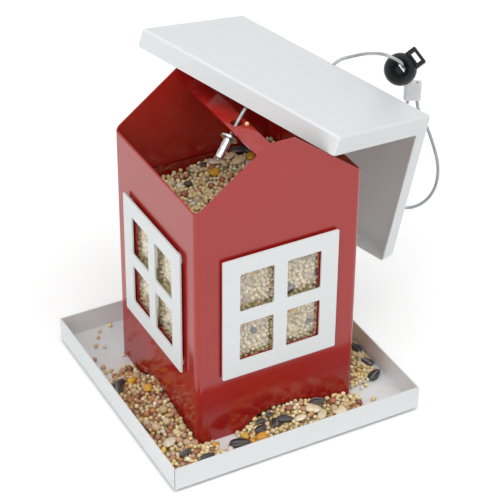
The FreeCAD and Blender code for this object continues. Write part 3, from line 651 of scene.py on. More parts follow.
@dataclass(frozen=True)
class MetalFinish(SlotFinish):
    """Bare or coated bright metal."""

    stretch: Place
    metallic: float = 1.0
    coat: float = 0.0

    def build(self, effects: EffectLibrary) -> Material:
        """Make the material.

        Args:
            effects: shared shader groups.

        Returns:
            The material.
        """
        bench, colour, _ = self.start(effects, scale=260.0)
        lines = bench.effect(effects.drawn_lines, Stretch=self.stretch, Scale=1400.0)
        bench.set(Base_Color=colour, Metallic=self.metallic, Coat_Weight=self.coat)
        bench.roughen(lines.outputs["Mask"], gain=0.12, level=self.roughness)
        bench.bump(lines.outputs["Height"], strength=0.25, depth=0.12 * MM)
        return bench.material


@dataclass(frozen=True)
class PlasticFinish(SlotFinish):
    """Moulded plastic, opaque or milky."""

    glow: float = 0.0
    gloss: float = 0.5

    def build(self, effects: EffectLibrary) -> Material:
        """Make the material.

        Args:
            effects: shared shader groups.

        Returns:
            The material.
        """
        bench, colour, _ = self.start(effects, scale=180.0)
        edge = bench.effect(effects.edge_wear_and_highlight, Amount=0.3, Scale=500.0)
        bench.set(Base_Color=colour, Specular_IOR_Level=self.gloss)
        bench.roughen(edge.outputs["Mask"], gain=-0.3, level=self.roughness)
        if self.glow:
            bench.set(Subsurface_Weight=self.glow, Subsurface_Scale=2.0 * MM)
        bench.peel(fine=2600.0, wave=220.0, strength=0.12, depth=0.1 * MM)
        return bench.material


@dataclass(frozen=True)
class PaneFinish(SlotFinish):
    """Clear thin sheet that lets light through to the seed behind it."""

    ior: float
    clearness: float

    def build(self, effects: EffectLibrary) -> Material:
        """Make the material.

        Args:
            effects: shared shader groups.

        Returns:
            The material.
        """
        bench, colour, film = self.start(effects, scale=90.0)
        desk = bench.desk
        bench.set(Base_Color=colour, IOR=self.ior, Transmission_Weight=self.clearness)
        bench.roughen(film, gain=0.03, level=self.roughness)
        path = desk.add("LightPath").outputs
        passing = desk.sums("MAXIMUM", path["Is Shadow Ray"], path["Is Diffuse Ray"])
        clear = desk.add("BsdfTransparent").outputs[0]
        either = desk.add("MixShader", passing, bench.shader.outputs[0], clear)
        desk.feed(bench.output, Surface=either.outputs[0])
        return bench.material


@dataclass(frozen=True)
class SeedFinish:
    """Husk and kernel skins, tinted seed by seed."""

    name: str
    roughness: float
    darker: Colour = (0.82, 0.77, 0.70)

    def build(self, effects: EffectLibrary) -> Material:
        """Make the material.

        Args:
            effects: shared shader groups.

        Returns:
            The material.
        """
        bench = FinishBench(self.name, effects)
        tint = bench.desk.add("Attribute", attribute_name="seed_tint").outputs["Color"]
        shade = bench.desk.mix(1.0, tint, opaque(self.darker), "MULTIPLY")
        drift = bench.effect(effects.tone_drift, Base=tint, Shade=shade, Scale=750.0)
        bench.set(Base_Color=drift.outputs["Colour"])
        bench.roughen(drift.outputs["Mask"], gain=0.15, level=self.roughness)
        bench.peel(fine=3200.0, wave=900.0, strength=0.35, depth=0.15 * MM)
        return bench.material


FINISHES = (
    # The edge colours below are painted highlights along folds and cut edges.
    PaintFinish(SlotName.RED_PAINT, (0.395, 0.0125, 0.0090), (0.375, 0.0115, 0.0085), 0.11,
                edge_highlight=(0.50, 0.030, 0.022), ior=1.60, dust=0.05),
    PaintFinish(SlotName.WHITE_PAINT, (0.780, 0.808, 0.812), (0.765, 0.795, 0.802), 0.38,
                edge_highlight=(0.81, 0.830, 0.825), ior=1.50, dust=0.10),
    PlasticFinish(SlotName.WHITE_PLASTIC, (0.74, 0.75, 0.74), (0.70, 0.71, 0.70), 0.45),
    PaneFinish(SlotName.CLEAR_PLASTIC, (0.985, 0.99, 0.985), (0.90, 0.91, 0.90), 0.03,
               ior=1.85, clearness=1.0),
    MetalFinish(SlotName.BRIGHT_STEEL, (0.66, 0.67, 0.68), (0.56, 0.57, 0.58), 0.26, (1.0, 1.0, 6.0)),
    MetalFinish(SlotName.BRIGHT_ALUMINIUM, (0.83, 0.84, 0.85), (0.74, 0.75, 0.77), 0.22, (0.3, 0.3, 4.0)),
    MetalFinish(SlotName.COATED_CABLE, (0.44, 0.465, 0.47), (0.36, 0.385, 0.39), 0.34, (2.0, 2.0, 2.0),
                metallic=0.45, coat=0.3),
    PlasticFinish(SlotName.BLACK_PLASTIC, (0.010, 0.0108, 0.0125), (0.007, 0.0078, 0.009), 0.36, gloss=0.22),
    PlasticFinish(SlotName.MILKY_PLASTIC, (0.80, 0.82, 0.83), (0.75, 0.77, 0.78), 0.32, glow=0.5),
)


class FinishRack:
    """All materials of the feeder by slot."""

    def __init__(self) -> None:
        """Build the shared effects and every finish."""
        effects = EffectLibrary()
        self.by_slot = {finish.slot: finish.build(effects) for finish in FINISHES}
        self.seed = SeedFinish("bird_seed", roughness=0.38).build(effects)

    def dress(self, node: str, slot: SlotName) -> None:
        """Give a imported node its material.

        Args:
            node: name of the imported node.
            slot: slot whose finish it takes.
        """
        part = frame["nodes"][node]
        material = self.by_slot[slot]
        if not part.material_slots:
            part.data.materials.append(material)
        for entry in part.material_slots:
            entry.material = material
        LOG.info("dressed %s in %s", node, slot.value)


# House


@dataclass
class Tray:
    """Folded white tray."""

    node: str = "tray"

    def dress(self, rack: FinishRack) -> None:
        """Paint the tray."""
        rack.dress(self.node, SlotName.WHITE_PAINT)


@dataclass
class Hopper:
    """Red house of folded sheet with the strap across its mouth."""

    nodes: tuple[str, ...] = ("hopper_shell", "bridge_strap")

    def dress(self, rack: FinishRack) -> None:
        """Paint the house and its strap."""
        for node in self.nodes:
            rack.dress(node, SlotName.RED_PAINT)


@dataclass
class Window:
    """Frame, spacers, pane and push nuts of one wall."""

    side: str

    def dress(self, rack: FinishRack) -> None:
        """Give the window's pieces their finishes.

        Args:
            rack: the feeder's finishes.
        """
        rack.dress(f"window_frame_{self.side}", SlotName.WHITE_PAINT)
        rack.dress(f"frame_spacers_{self.side}", SlotName.WHITE_PLASTIC)
        rack.dress(f"window_pane_{self.side}", SlotName.CLEAR_PLASTIC)
        rack.dress(f"push_nuts_{self.side}", SlotName.BRIGHT_STEEL)


@dataclass
class Roof:
    """White folded roof, lifted off and laid against the house."""

    node: str = "roof"

    def dress(self, rack: FinishRack) -> None:
        """Paint the roof."""
        rack.dress(self.node, SlotName.WHITE_PAINT)


# Cable


@dataclass
class CableRun:
    """One stretch of the hanging cable along its route."""

    name: str
    route: list[Vector]
    radius: float = 0.95
    strands: int = 6
    strand_relief: float = 0.035
    lay: float = 9.0
    sides: int = 24
    steps: int = 24
    order: int = 3
    line: list[Vector] = field(default_factory=list)

    def trace(self) -> None:
        """Read the smooth line of the route's NURBS spline."""
        curve = bpy.data.curves.new(f"{self.name}_route", "CURVE")
        curve.dimensions = "3D"
        spline = curve.splines.new("NURBS")
        spline.points.add(len(self.route) - 1)
        for point, place in zip(spline.points, self.route):
            point.co = (*(place * MM), 1.0)
        spline.order_u = self.order
        spline.use_endpoint_u = True
        curve.resolution_u = self.steps
        spline.resolution_u = self.steps
        holder = bpy.data.objects.new(f"{self.name}_route", curve)
        bpy.context.scene.collection.objects.link(holder)
        bpy.context.view_layer.update()
        mesh = bpy.data.meshes.new_from_object(holder.evaluated_get(bpy.context.evaluated_depsgraph_get()))
        self.line = [vertex.co.copy() for vertex in mesh.vertices]
        bpy.data.meshes.remove(mesh)
        bpy.data.objects.remove(holder)
        bpy.data.curves.remove(curve)

    def length(self) -> float:
        """Length of the smooth line in metres."""
        return sum((after - before).length for before, after in zip(self.line, self.line[1:]))

    def build(self, material: Material) -> Piece:
        """Sweep the stranded section along the smooth line.

        Args:
            material: finish of the cable.

        Returns:
            The cable's object.
        """
        self.trace()
        mesh = bpy.data.meshes.new(self.name)
        builder = bmesh.new()
        along = (self.line[1] - self.line[0]).normalized()
        across = along.orthogonal().normalized()
        travelled = 0.0
        rings = []
        for index, place in enumerate(self.line):
            after = self.line[min(index + 1, len(self.line) - 1)]
            before = self.line[max(index - 1, 0)]
            heading = (after - before).normalized()
            across = (across - heading * across.dot(heading)).normalized()
            upward = heading.cross(across)
            travelled += (place - before).length
            arms = (self._arm(turn, travelled, across, upward) for turn in range(self.sides))
            rings.append([builder.verts.new(place + arm) for arm in arms])
        for ring, following in zip(rings, rings[1:]):
            for turn in range(self.sides):
                beside = (turn + 1) % self.sides
                face = builder.faces.new((ring[turn], ring[beside], following[beside], following[turn]))
                face.smooth = True
        builder.faces.new(rings[0][::-1])
        builder.faces.new(rings[-1])
        builder.to_mesh(mesh)
        builder.free()
        piece = link_mesh(self.name, mesh, material)
        LOG.info("%s follows %.1f mm of cable", self.name, self.length() / MM)
        return piece

    def _arm(self, turn: int, travelled: float, across: Vector, upward: Vector) -> Vector:
        """Offset of one point of the twisted section from the cable's line.

        Args:
            turn: number of the point round the section.
            travelled: distance along the cable in metres.
            across: first axis of the section.
            upward: second axis of the section.

        Returns:
            The offset in metres.
        """
        angle = 2.0 * math.pi * turn / self.sides
        twist = 2.0 * math.pi * travelled / (self.lay * MM)
        swell = 1.0 - self.strand_relief * (0.5 - 0.5 * math.cos(self.strands * angle - twist))
        return (across * math.cos(angle) + upward * math.sin(angle)) * (self.radius * MM * swell)


@dataclass
class LockSpring:
    """Plunger spring of the cord lock, which closes up as the button is pressed."""

    button_way: Vector
    node: str = "cord_lock_spring"
    joint: str = "cord_lock_button"
    pressed_share: float = 0.40

    def build(self, rack: FinishRack) -> Piece:
        """Make the coil and seat it in the lock.

        Args:
            rack: the feeder's finishes.

        Returns:
            The coil's object.
        """
        packed = frame["nodes"][self.node]
        mesh = packed.data.copy()
        mesh.transform(packed.matrix_world)
        mesh.materials.clear()
        piece = link_mesh("cord_lock_coil", mesh, rack.by_slot[SlotName.BRIGHT_STEEL])
        seat = min((vertex.co for vertex in mesh.vertices), key=self.button_way.dot).copy()
        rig.replaces(piece, self.node)
        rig.slot(piece, SlotName.BRIGHT_STEEL.value)
        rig.ride(piece, BodyName.ROOF.value)
        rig.squash(piece, self.joint, axis=self.button_way, anchor=seat, keep=self.pressed_share)
        return piece


@dataclass
class HangingCable:
    """Cable with its stop below the strap, its cord lock and its hanging loop."""

    strap_place: Vector = field(default_factory=lambda: Vector((0.0, 0.0, 171.503)))
    ridge_hole: Vector = field(default_factory=lambda: Vector((90.685, 49.8, 161.990)))
    roof_tail: Place = (-2.9, -1.5, -0.9)
    ridge_lead: float = 7.0
    strap_lead: float = 9.0
    end_lean: float = 53.0
    held_share: float = 0.08
    from_strap: tuple[Place, ...] = ((16.0, 8.5, 8.8), (33.0, 17.5, 4.1))
    under_roof: tuple[Place, ...] = ((-37.5, -19.9, 5.0), (-20.5, -10.9, -0.2))
    to_lock: tuple[Place, ...] = (
        (3.6, 1.2, 1.3), (10.2, -1.9, 3.1), (13.7, -8.2, 6.9), (13.6, -17.6, 11.9), (12.0, -25.8, 16.2),
        (12.2, -32.8, 19.2), (15.6, -38.6, 18.8), (21.0, -40.0, 14.8))
    lock_centre: Place = (26.45, -30.57, 4.6)
    lock_way: Place = (0.5252, 0.6533, -0.5453)
    lock_tab: Place = (0.8037, -0.1703, 0.5702)
    in_lock: tuple[Span, ...] = ((-7.5, 2.0), (-1.5, 2.3), (5.0, 2.0), (10.0, 2.2))
    to_ferrule: tuple[Place, ...] = ((36.3, -21.7, -4.0),)
    ferrule_centre: Place = (41.25, -22.67, -17.1)
    ferrule_across: Place = (0.879, -0.476, 0.0)
    ferrule_strands: float = 4.8
    ferrule_height: float = 11.0
    ferrule_recess: float = 2.2
    lead_above: float = 3.0
    lead_below: float = 5.0
    loop: tuple[Place, ...] = (
        (49.0, -26.6, -38.5), (53.9, -29.2, -53.0), (58.0, -31.5, -69.0), (57.5, -31.3, -84.5),
        (52.0, -28.3, -96.0), (42.6, -23.2, -100.9), (32.6, -17.8, -96.4), (26.1, -14.3, -83.4),
        (25.3, -13.8, -66.4), (28.6, -15.6, -51.5), (33.8, -18.5, -38.0))
    finishes: tuple[tuple[str, SlotName], ...] = (
        ("cable_end", SlotName.COATED_CABLE), ("stop_ferrule", SlotName.BRIGHT_ALUMINIUM),
        ("stop_washer", SlotName.BRIGHT_STEEL), ("cord_lock_body", SlotName.BLACK_PLASTIC),
        ("cord_lock_plunger", SlotName.BLACK_PLASTIC), ("loop_ferrule", SlotName.MILKY_PLASTIC))

    def from_hole(self, steps: tuple[Place, ...]) -> list[Vector]:
        """Places measured from the hole in the ridge."""
        return [self.ridge_hole + Vector(step) for step in steps]

    def routes(self) -> dict[str, list[Vector]]:
        """Control points of the three free stretches.

        Returns:
            Route points in millimetres by node name.
        """
        tail, lock, ferrule = self.from_hole((self.roof_tail, self.lock_centre, self.ferrule_centre))
        to_lock = self.from_hole(self.to_lock)
        through_hole = (to_lock[0] - tail).normalized()
        way = Vector(self.lock_way).normalized()
        tab = Vector(self.lock_tab).normalized()
        across = Vector(self.ferrule_across).normalized() * (self.ferrule_strands / 2)
        half = upright(self.ferrule_height / 2)
        above = half + upright(self.lead_above)
        below = half + upright(self.lead_below)
        lean = math.radians(self.end_lean)
        heading = Vector((self.ridge_hole.x, self.ridge_hole.y, 0.0)).normalized()
        end_way = heading * math.sin(lean) + upright(math.cos(lean))
        under = [self.strap_place, self.strap_place + end_way * self.strap_lead]
        under += [self.strap_place + Vector(step) for step in self.from_strap]
        under += self.from_hole(self.under_roof) + [tail - through_hole * self.ridge_lead, tail]
        upper = [tail] + to_lock + [lock + way * run + tab * offset for run, offset in self.in_lock]
        upper += self.from_hole(self.to_ferrule) + [ferrule - across + above, ferrule - across - half]
        loop = [ferrule + across + half - upright(self.ferrule_recess), ferrule + across - below]
        loop += self.from_hole(self.loop) + [ferrule - across - below, ferrule - across - half]
        return {"cable_under_roof": under, "cable_to_lock": upper, "cable_loop": loop}

    def build(self, rack: FinishRack) -> None:
        """Args:
            rack: the feeder's finishes.
        """
        nodes = frame["nodes"]
        coil = LockSpring(Vector(self.lock_tab).normalized()).build(rack)
        on_cable = {
            "cable_under_roof": ("object", [nodes["cable_end"], nodes["stop_ferrule"], nodes["stop_washer"]]),
            "cable_to_lock": ("fitting", [nodes["cord_lock_body"], nodes["cord_lock_plunger"], coil]),
            "cable_loop": ("fitting", [nodes["loop_ferrule"]]),
        }
        for node, route in self.routes().items():
            run = CableRun(f"{node}_strand", route)
            piece = run.build(rack.by_slot[SlotName.COATED_CABLE])
            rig.replaces(piece, node)
            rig.slot(piece, SlotName.COATED_CABLE.value)
            if node == "cable_under_roof":
                start = route[0].lerp(route[-1], self.held_share) * MM
                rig.blend(piece, BodyName.HOUSE.value, BodyName.ROOF.value, start=start, end=route[-2] * MM)
            else:
                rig.ride(piece, BodyName.ROOF.value)
            far_end, carried = on_cable[node]
            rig.cord(piece, exit=run.line[0], length=run.length(), diameter=2 * run.radius * MM,
                    far_end=far_end, stiffness="stiff", lay="loose", path=run.line, with_pieces=carried)

    def dress(self, rack: FinishRack) -> None:
        """Give the stop, the lock and the ferrules their finishes."""
        for node, slot in self.finishes:
            rack.dress(node, slot)


# Seed


@dataclass(frozen=True)
class SeedKind:
    """One kind of seed in the mix."""

    form: SeedForm
    half: Place
    spread: float
    tints: tuple[Colour, ...]
    stripe: Colour = (0.0, 0.0, 0.0)

    def disc(self) -> float:
        """Radius of the disc that the seed takes up in a layer."""
        return 0.5 * (self.half[1] + 0.5 * (self.half[0] + self.half[1]))


MILLET = SeedKind(SeedForm.GRAIN, (1.40, 1.33, 1.24), 0.09, (
    (0.92, 0.75, 0.41), (0.95, 0.84, 0.52), (0.89, 0.71, 0.35), (0.96, 0.87, 0.62), (0.84, 0.64, 0.30)))
PALE_MILLET = SeedKind(SeedForm.GRAIN, (1.30, 1.26, 1.18), 0.07, (
    (0.98, 0.86, 0.56), (0.96, 0.82, 0.50), (0.98, 0.89, 0.65), (0.94, 0.76, 0.44)))
MILO = SeedKind(SeedForm.GRAIN, (2.10, 1.95, 1.60), 0.14, (
    (0.46, 0.18, 0.10), (0.56, 0.33, 0.22), (0.62, 0.29, 0.13), (0.42, 0.20, 0.12), (0.62, 0.40, 0.27)))
WHEAT = SeedKind(SeedForm.GRAIN, (3.1, 1.40, 1.25), 0.12, (
    (0.66, 0.42, 0.20), (0.60, 0.34, 0.21), (0.74, 0.53, 0.28)))
PEA = SeedKind(SeedForm.GRAIN, (2.7, 2.55, 2.35), 0.10, (
    (0.72, 0.57, 0.32), (0.78, 0.66, 0.43), (0.68, 0.53, 0.33)))
CORN = SeedKind(SeedForm.CHIP, (3.6, 2.4, 1.8), 0.18, (
    (0.92, 0.56, 0.05), (0.93, 0.66, 0.12), (0.90, 0.49, 0.07)))
FLAKE = SeedKind(SeedForm.FLAKE, (4.7, 3.1, 1.5), 0.12, (
    (0.95, 0.86, 0.64), (0.92, 0.83, 0.66), (0.88, 0.74, 0.48)))
WHITE_CHIP = SeedKind(SeedForm.CHIP, (2.1, 1.7, 1.3), 0.18, ((0.92, 0.88, 0.78), (0.88, 0.84, 0.76)))
SUNFLOWER = SeedKind(SeedForm.HUSK, (5.4, 2.6, 1.75), 0.10, (
    (0.036, 0.037, 0.042), (0.050, 0.051, 0.057)), (0.38, 0.375, 0.37))
HUSK_BIT = SeedKind(SeedForm.HUSK, (3.0, 1.7, 1.2), 0.10, SUNFLOWER.tints, SUNFLOWER.stripe)

SeedMix = dict[SeedKind, float]
PANE_MIX: SeedMix = {
    PALE_MILLET: 0.972, MILO: 0.010, WHEAT: 0.004, PEA: 0.004, CORN: 0.002, WHITE_CHIP: 0.006,
    HUSK_BIT: 0.002}
TOP_MIX: SeedMix = {
    PALE_MILLET: 0.735, MILLET: 0.211, MILO: 0.030, WHEAT: 0.004, PEA: 0.006, WHITE_CHIP: 0.014}
TRAY_MIX: SeedMix = {
    PALE_MILLET: 0.700, MILLET: 0.268, MILO: 0.010, WHEAT: 0.005, PEA: 0.004, CORN: 0.001, WHITE_CHIP: 0.012}
LEFT_MIX: SeedMix = {
    PALE_MILLET: 0.280, MILLET: 0.616, MILO: 0.066, WHEAT: 0.016, PEA: 0.008, WHITE_CHIP: 0.014}
ARCH_MIX: SeedMix = {PALE_MILLET: 0.70, MILLET: 0.27, MILO: 0.03}


@dataclass
class SeedMesh:
    """Unit mesh of one seed, with the share of tint and stripe at each point."""

    points: np.ndarray
    faces: np.ndarray
    shade: np.ndarray
    stripe: np.ndarray


class SeedMould:
    """Makes the unit meshes of the seed forms, a few variants of each."""

    variants: int = 5
    fine_level: int = 2
    coarse_level: int = 1
    waves: int = 4
    wave_pace: float = 1.6

    def __init__(self, chance: np.random.Generator) -> None:
        """Make every form, fine for what shows and coarse for what lies below.

        Args:
            chance: source of chance.
        """
        self.chance = chance
        self.fine = self._forms(self.fine_level)
        self.coarse = self._forms(self.coarse_level)

    def _forms(self, level: int) -> dict[SeedForm, list[SeedMesh]]:
        """Variants of every form at one level of detail.

        Args:
            level: level of detail.

        Returns:
            The unit meshes by form.
        """
        makers: dict[SeedForm, Callable[[int], SeedMesh]] = {
            SeedForm.GRAIN: self._grain, SeedForm.CHIP: self._chip,
            SeedForm.FLAKE: self._flake, SeedForm.HUSK: self._husk}
        return {form: [make(level) for _ in range(self.variants)] for form, make in makers.items()}

    @staticmethod
    def _ball(level: int) -> tuple[np.ndarray, np.ndarray]:
        """Unit ball.

        Args:
            level: how often an icosahedron is divided, plus one.

        Returns:
            The points and the triangles.
        """
        builder = bmesh.new()
        bmesh.ops.create_icosphere(builder, subdivisions=level, radius=1.0)
        return read_mesh(builder)

    def _lumps(self, points: np.ndarray, amount: float) -> np.ndarray:
        """Points pushed in and out by a few slow waves.

        Args:
            points: the points.
            amount: largest share of the push.

        Returns:
            The pushed points.
        """
        ways = self.chance.normal(size=(self.waves, 3))
        phases = self.chance.uniform(0, FULL_TURN, self.waves)
        push = np.sin(points @ ways.T * self.wave_pace + phases).mean(axis=1)
        return points * (1.0 + amount * push)[:, None]

    def _grain(self, level: int) -> SeedMesh:
        """Rounded grain, drawn in and darker at the end where it grew, with painted shade on its lower side.

        Args:
            level: level of detail.

        Returns:
            The unit mesh.
        """
        end_from, end_dark, painted_under_shade, lumps, taper = 0.55, 0.24, 0.08, 0.06, 0.10
        points, faces = self._ball(level)
        end = np.clip((points[:, 0] - end_from) / (1.0 - end_from), 0.0, 1.0)
        # The lower side is darkened as painted shade.
        shade = 1.0 - end_dark * end - painted_under_shade * np.clip(-points[:, 2], 0.0, 1.0)
        points = self._lumps(points, lumps)
        points[:, 1:] *= (1.0 - taper * points[:, :1])
        return SeedMesh(points, faces, shade, np.zeros(len(points)))

    def _chip(self, level: int) -> SeedMesh:
        """Broken kernel with a few flat faces.

        Args:
            level: level of detail.

        Returns:
            The unit mesh.
        """
        cuts, cut_place, cut_dark, grown = 6, (0.45, 0.75), 0.14, 1.15
        points, faces = self._ball(level)
        for way in self.chance.normal(size=(cuts, 3)):
            way = way / np.linalg.norm(way)
            past = np.clip(points @ way - self.chance.uniform(*cut_place), 0.0, None)
            points = points - past[:, None] * way
        shade = 1.0 - cut_dark * (1.0 - np.clip(points[:, 0] + 0.5, 0.0, 1.0))
        return SeedMesh(points * grown, faces, shade, np.zeros(len(points)))

    def _flake(self, level: int) -> SeedMesh:
        """Half of a kernel, rounded above and almost flat below, with painted shade along a groove down its middle.

        Args:
            level: level of detail.

        Returns:
            The unit mesh.
        """
        lumps, flat, bow, groove_half, painted_groove_shade = 0.12, 0.25, 0.25, 0.18, 0.14
        points, faces = self._ball(level)
        points = self._lumps(points, lumps)
        points[:, 2] = np.where(points[:, 2] < 0.0, points[:, 2] * flat, points[:, 2])
        points[:, 2] += bow * points[:, 0] ** 2
        # Painted shade along the middle line, standing in for a groove.
        groove = np.exp(-(points[:, 1] / groove_half) ** 2)
        return SeedMesh(points, faces, 1.0 - painted_groove_shade * groove, np.zeros(len(points)))

    def _husk(self, level: int) -> SeedMesh:
        """Pointed flat husk with pale stripes along it.

        Args:
            level: level of detail.

        Returns:
            The unit mesh.
        """
        rows, columns = (13, 24) if level > self.coarse_level else (7, 8)
        blunt, taper, tip = 0.55, 0.30, 0.03
        stripes, broad_stripes, broad_share = 7.0, 3.0, 0.4
        stripe_from, stripe_edge, stripe_strength = 0.55, 0.5, (0.25, 0.9)
        places = np.linspace(-1.0, 1.0, rows)
        round_it = np.arange(columns) * 2.0 * np.pi / columns
        wide = np.clip(1.0 - places ** 2, 0.0, 1.0) ** blunt * (1.0 - taper * places) + tip
        points = np.array([(x, r * np.cos(a), r * np.sin(a)) for x, r in zip(places, wide) for a in round_it])
        faces = []
        for row in range(rows - 1):
            for column in range(columns):
                first = row * columns + column
                beside = row * columns + (column + 1) % columns
                faces += [(first, beside, beside + columns), (first, beside + columns, first + columns)]
        last = (rows - 1) * columns
        for ring in (range(columns - 1, -1, -1), range(last, last + columns)):
            faces += [(ring[0], ring[i], ring[i + 1]) for i in range(1, columns - 1)]
        phase = self.chance.uniform(0, FULL_TURN)
        lines = np.cos(stripes * round_it + phase)
        lines = lines + broad_share * np.cos(broad_stripes * round_it + 2.0 * phase)
        stripe = np.clip((np.tile(lines, rows) - stripe_from) / stripe_edge, 0.0, 1.0)
        stripe = stripe * self.chance.uniform(*stripe_strength)
        return SeedMesh(points, np.array(faces), np.ones(len(points)), stripe)


class SeedBasket:
    """Collects seeds and makes one mesh of them."""

    size_limits: Span = (0.7, 1.3)
    brightness: Span = (0.80, 1.18)
    hue: Span = (0.95, 1.05)

    def __init__(self, mould: SeedMould, chance: np.random.Generator, rest: float) -> None:
        """Start an empty basket.

        Args:
            mould: the unit meshes.
            chance: source of chance.
            rest: height in millimetres that no seed lies below.
        """
        self.mould = mould
        self.chance = chance
        self.rest = rest
        self.points: list[np.ndarray] = []
        self.faces: list[np.ndarray] = []
        self.tints: list[np.ndarray] = []
        self.filled = 0

    def tumbled(self) -> np.ndarray:
        """A turn to any direction."""
        return np.array(Quaternion(self.chance.normal(size=4)).normalized().to_matrix())

    def lying(self, yaw: float, tilt: float) -> np.ndarray:
        """A turn that leaves a flat seed lying nearly level.

        Args:
            yaw: heading in degrees.
            tilt: largest lean in radians.

        Returns:
            The turn as a matrix.
        """
        lean = Matrix.Rotation(self.chance.uniform(-tilt, tilt), 3, "X")
        pitch = Matrix.Rotation(self.chance.uniform(-tilt, tilt), 3, "Y")
        return np.array(Matrix.Rotation(math.radians(yaw), 3, "Z") @ lean @ pitch)

    def add(self, kind: SeedKind, centre: Place, turn: np.ndarray, fine: bool = True) -> None:
        """Put one seed into the basket.

        Args:
            kind: kind of seed.
            centre: its centre in millimetres.
            turn: its turn.
            fine: whether it shows.
        """
        forms = (self.mould.fine if fine else self.mould.coarse)[kind.form]
        form = forms[int(self.chance.integers(len(forms)))]
        scale = float(np.clip(self.chance.normal(1.0, kind.spread), *self.size_limits))
        tint = np.array(kind.tints[int(self.chance.integers(len(kind.tints)))])
        tint = tint * self.chance.uniform(*self.brightness) * self.chance.uniform(*self.hue, 3)
        placed = (form.points * np.array(kind.half) * scale) @ turn.T + np.array(centre)
        placed[:, 2] += max(0.0, self.rest - placed[:, 2].min())
        colours = tint * form.shade[:, None] * (1.0 - form.stripe[:, None])
        self.add_mesh(placed, form.faces, colours + np.array(kind.stripe) * form.stripe[:, None])

    def add_mesh(self, points: np.ndarray, faces: np.ndarray, colours: np.ndarray | Colour) -> None:
        """Put any mesh into the basket.

        Args:
            points: its points in millimetres.
            faces: its triangles.
            colours: its colour, or one for each point.
        """
        colours = np.broadcast_to(np.clip(colours, 0.0, 1.0), points.shape)
        self.points.append(points * MM)
        self.faces.append(faces + self.filled)
        self.tints.append(np.column_stack([colours, np.ones(len(points))]))
        self.filled += len(points)

    def make(self, name: str, material: Material) -> Piece:
        """Make one object of all the seeds.

        Args:
            name: name of the piece.
            material: finish of the seeds.

        Returns:
            The object.
        """
        points = np.concatenate(self.points).astype(np.float32)
        faces = np.concatenate(self.faces).astype(np.int32)
        mesh = bpy.data.meshes.new(name)
        mesh.vertices.add(len(points))
        mesh.vertices.foreach_set("co", points.ravel())
        mesh.loops.add(faces.size)
        mesh.loops.foreach_set("vertex_index", faces.ravel())
        mesh.polygons.add(len(faces))
        mesh.polygons.foreach_set("loop_start", np.arange(0, faces.size, 3, dtype=np.int32))
        mesh.polygons.foreach_set("use_smooth", np.ones(len(faces), dtype=bool))
        tint = mesh.color_attributes.new("seed_tint", "FLOAT_COLOR", "POINT")
        tint.data.foreach_set("color", np.concatenate(self.tints).astype(np.float32).ravel())
        mesh.update(calc_edges=True)
        mesh.validate()
        return link_mesh(name, mesh, material)


class DiscPacker:
    """Keeps thrown discs clear of each other."""

    cell: float = 4.0

    def __init__(self, closeness: float) -> None:
        """Start with no discs.

        Args:
            closeness: share of two radii that centres stay apart.
        """
        self.closeness = closeness
        self.grid: dict[tuple[int, int], list[Place]] = {}
        self.largest = 0.0

    def fits(self, a: float, b: float, radius: float) -> bool:
        """Whether a disc is clear of those kept so far.

        Args:
            a: its first coordinate.
            b: its second coordinate.
            radius: its radius.

        Returns:
            Whether there is room for it.
        """
        reach = int(math.ceil((radius + self.largest) / self.cell))
        column, row = int(a // self.cell), int(b // self.cell)
        for i in range(column - reach, column + reach + 1):
            for j in range(row - reach, row + reach + 1):
                for other_a, other_b, other in self.grid.get((i, j), ()):
                    room = self.closeness * (radius + other)
                    if (a - other_a) ** 2 + (b - other_b) ** 2 < room * room:
                        return False
        return True

    def keep(self, a: float, b: float, radius: float) -> None:
        """Keep a disc."""
        self.largest = max(self.largest, radius)
        self.grid.setdefault((int(a // self.cell), int(b // self.cell)), []).append((a, b, radius))


@dataclass(frozen=True)
class Mound:
    """Oval heap of seed, kept between two corners of the tray."""

    x: float
    y: float
    reach_x: float
    reach_y: float
    height: float
    low: Span = (-80.0, -80.0)
    high: Span = (80.0, 80.0)
    fullness: float = 0.85

    def rise(self, x: float, y: float) -> float:
        """Height of the heap over a place.

        Args:
            x: place across.
            y: place along.

        Returns:
            The height in millimetres.
        """
        if not (self.low[0] < x < self.high[0] and self.low[1] < y < self.high[1]):
            return 0.0
        away = math.hypot((x - self.x) / self.reach_x, (y - self.y) / self.reach_y)
        return self.height * max(0.0, 1.0 - away) ** self.fullness


@dataclass(frozen=True)
class SeedLayer:
    """How many seeds one layer tries to take, how deep it lies and whether it shows."""

    count: int
    depth: float
    fine: bool


@dataclass(frozen=True)
class SetSeed:
    """A seed at a place of its own."""

    kind: SeedKind
    x: float
    y: float
    yaw: float = 0.0
    lift: float = 0.6


def set_out(*rows: tuple) -> tuple[SetSeed, ...]:
    """Single seeds in order, from rows of a kind and its places: x, y, yaw and lift."""
    return tuple(SetSeed(kind, *place) for kind, *places in rows for place in places)


ThrownSeed = tuple[SeedKind, float, float]


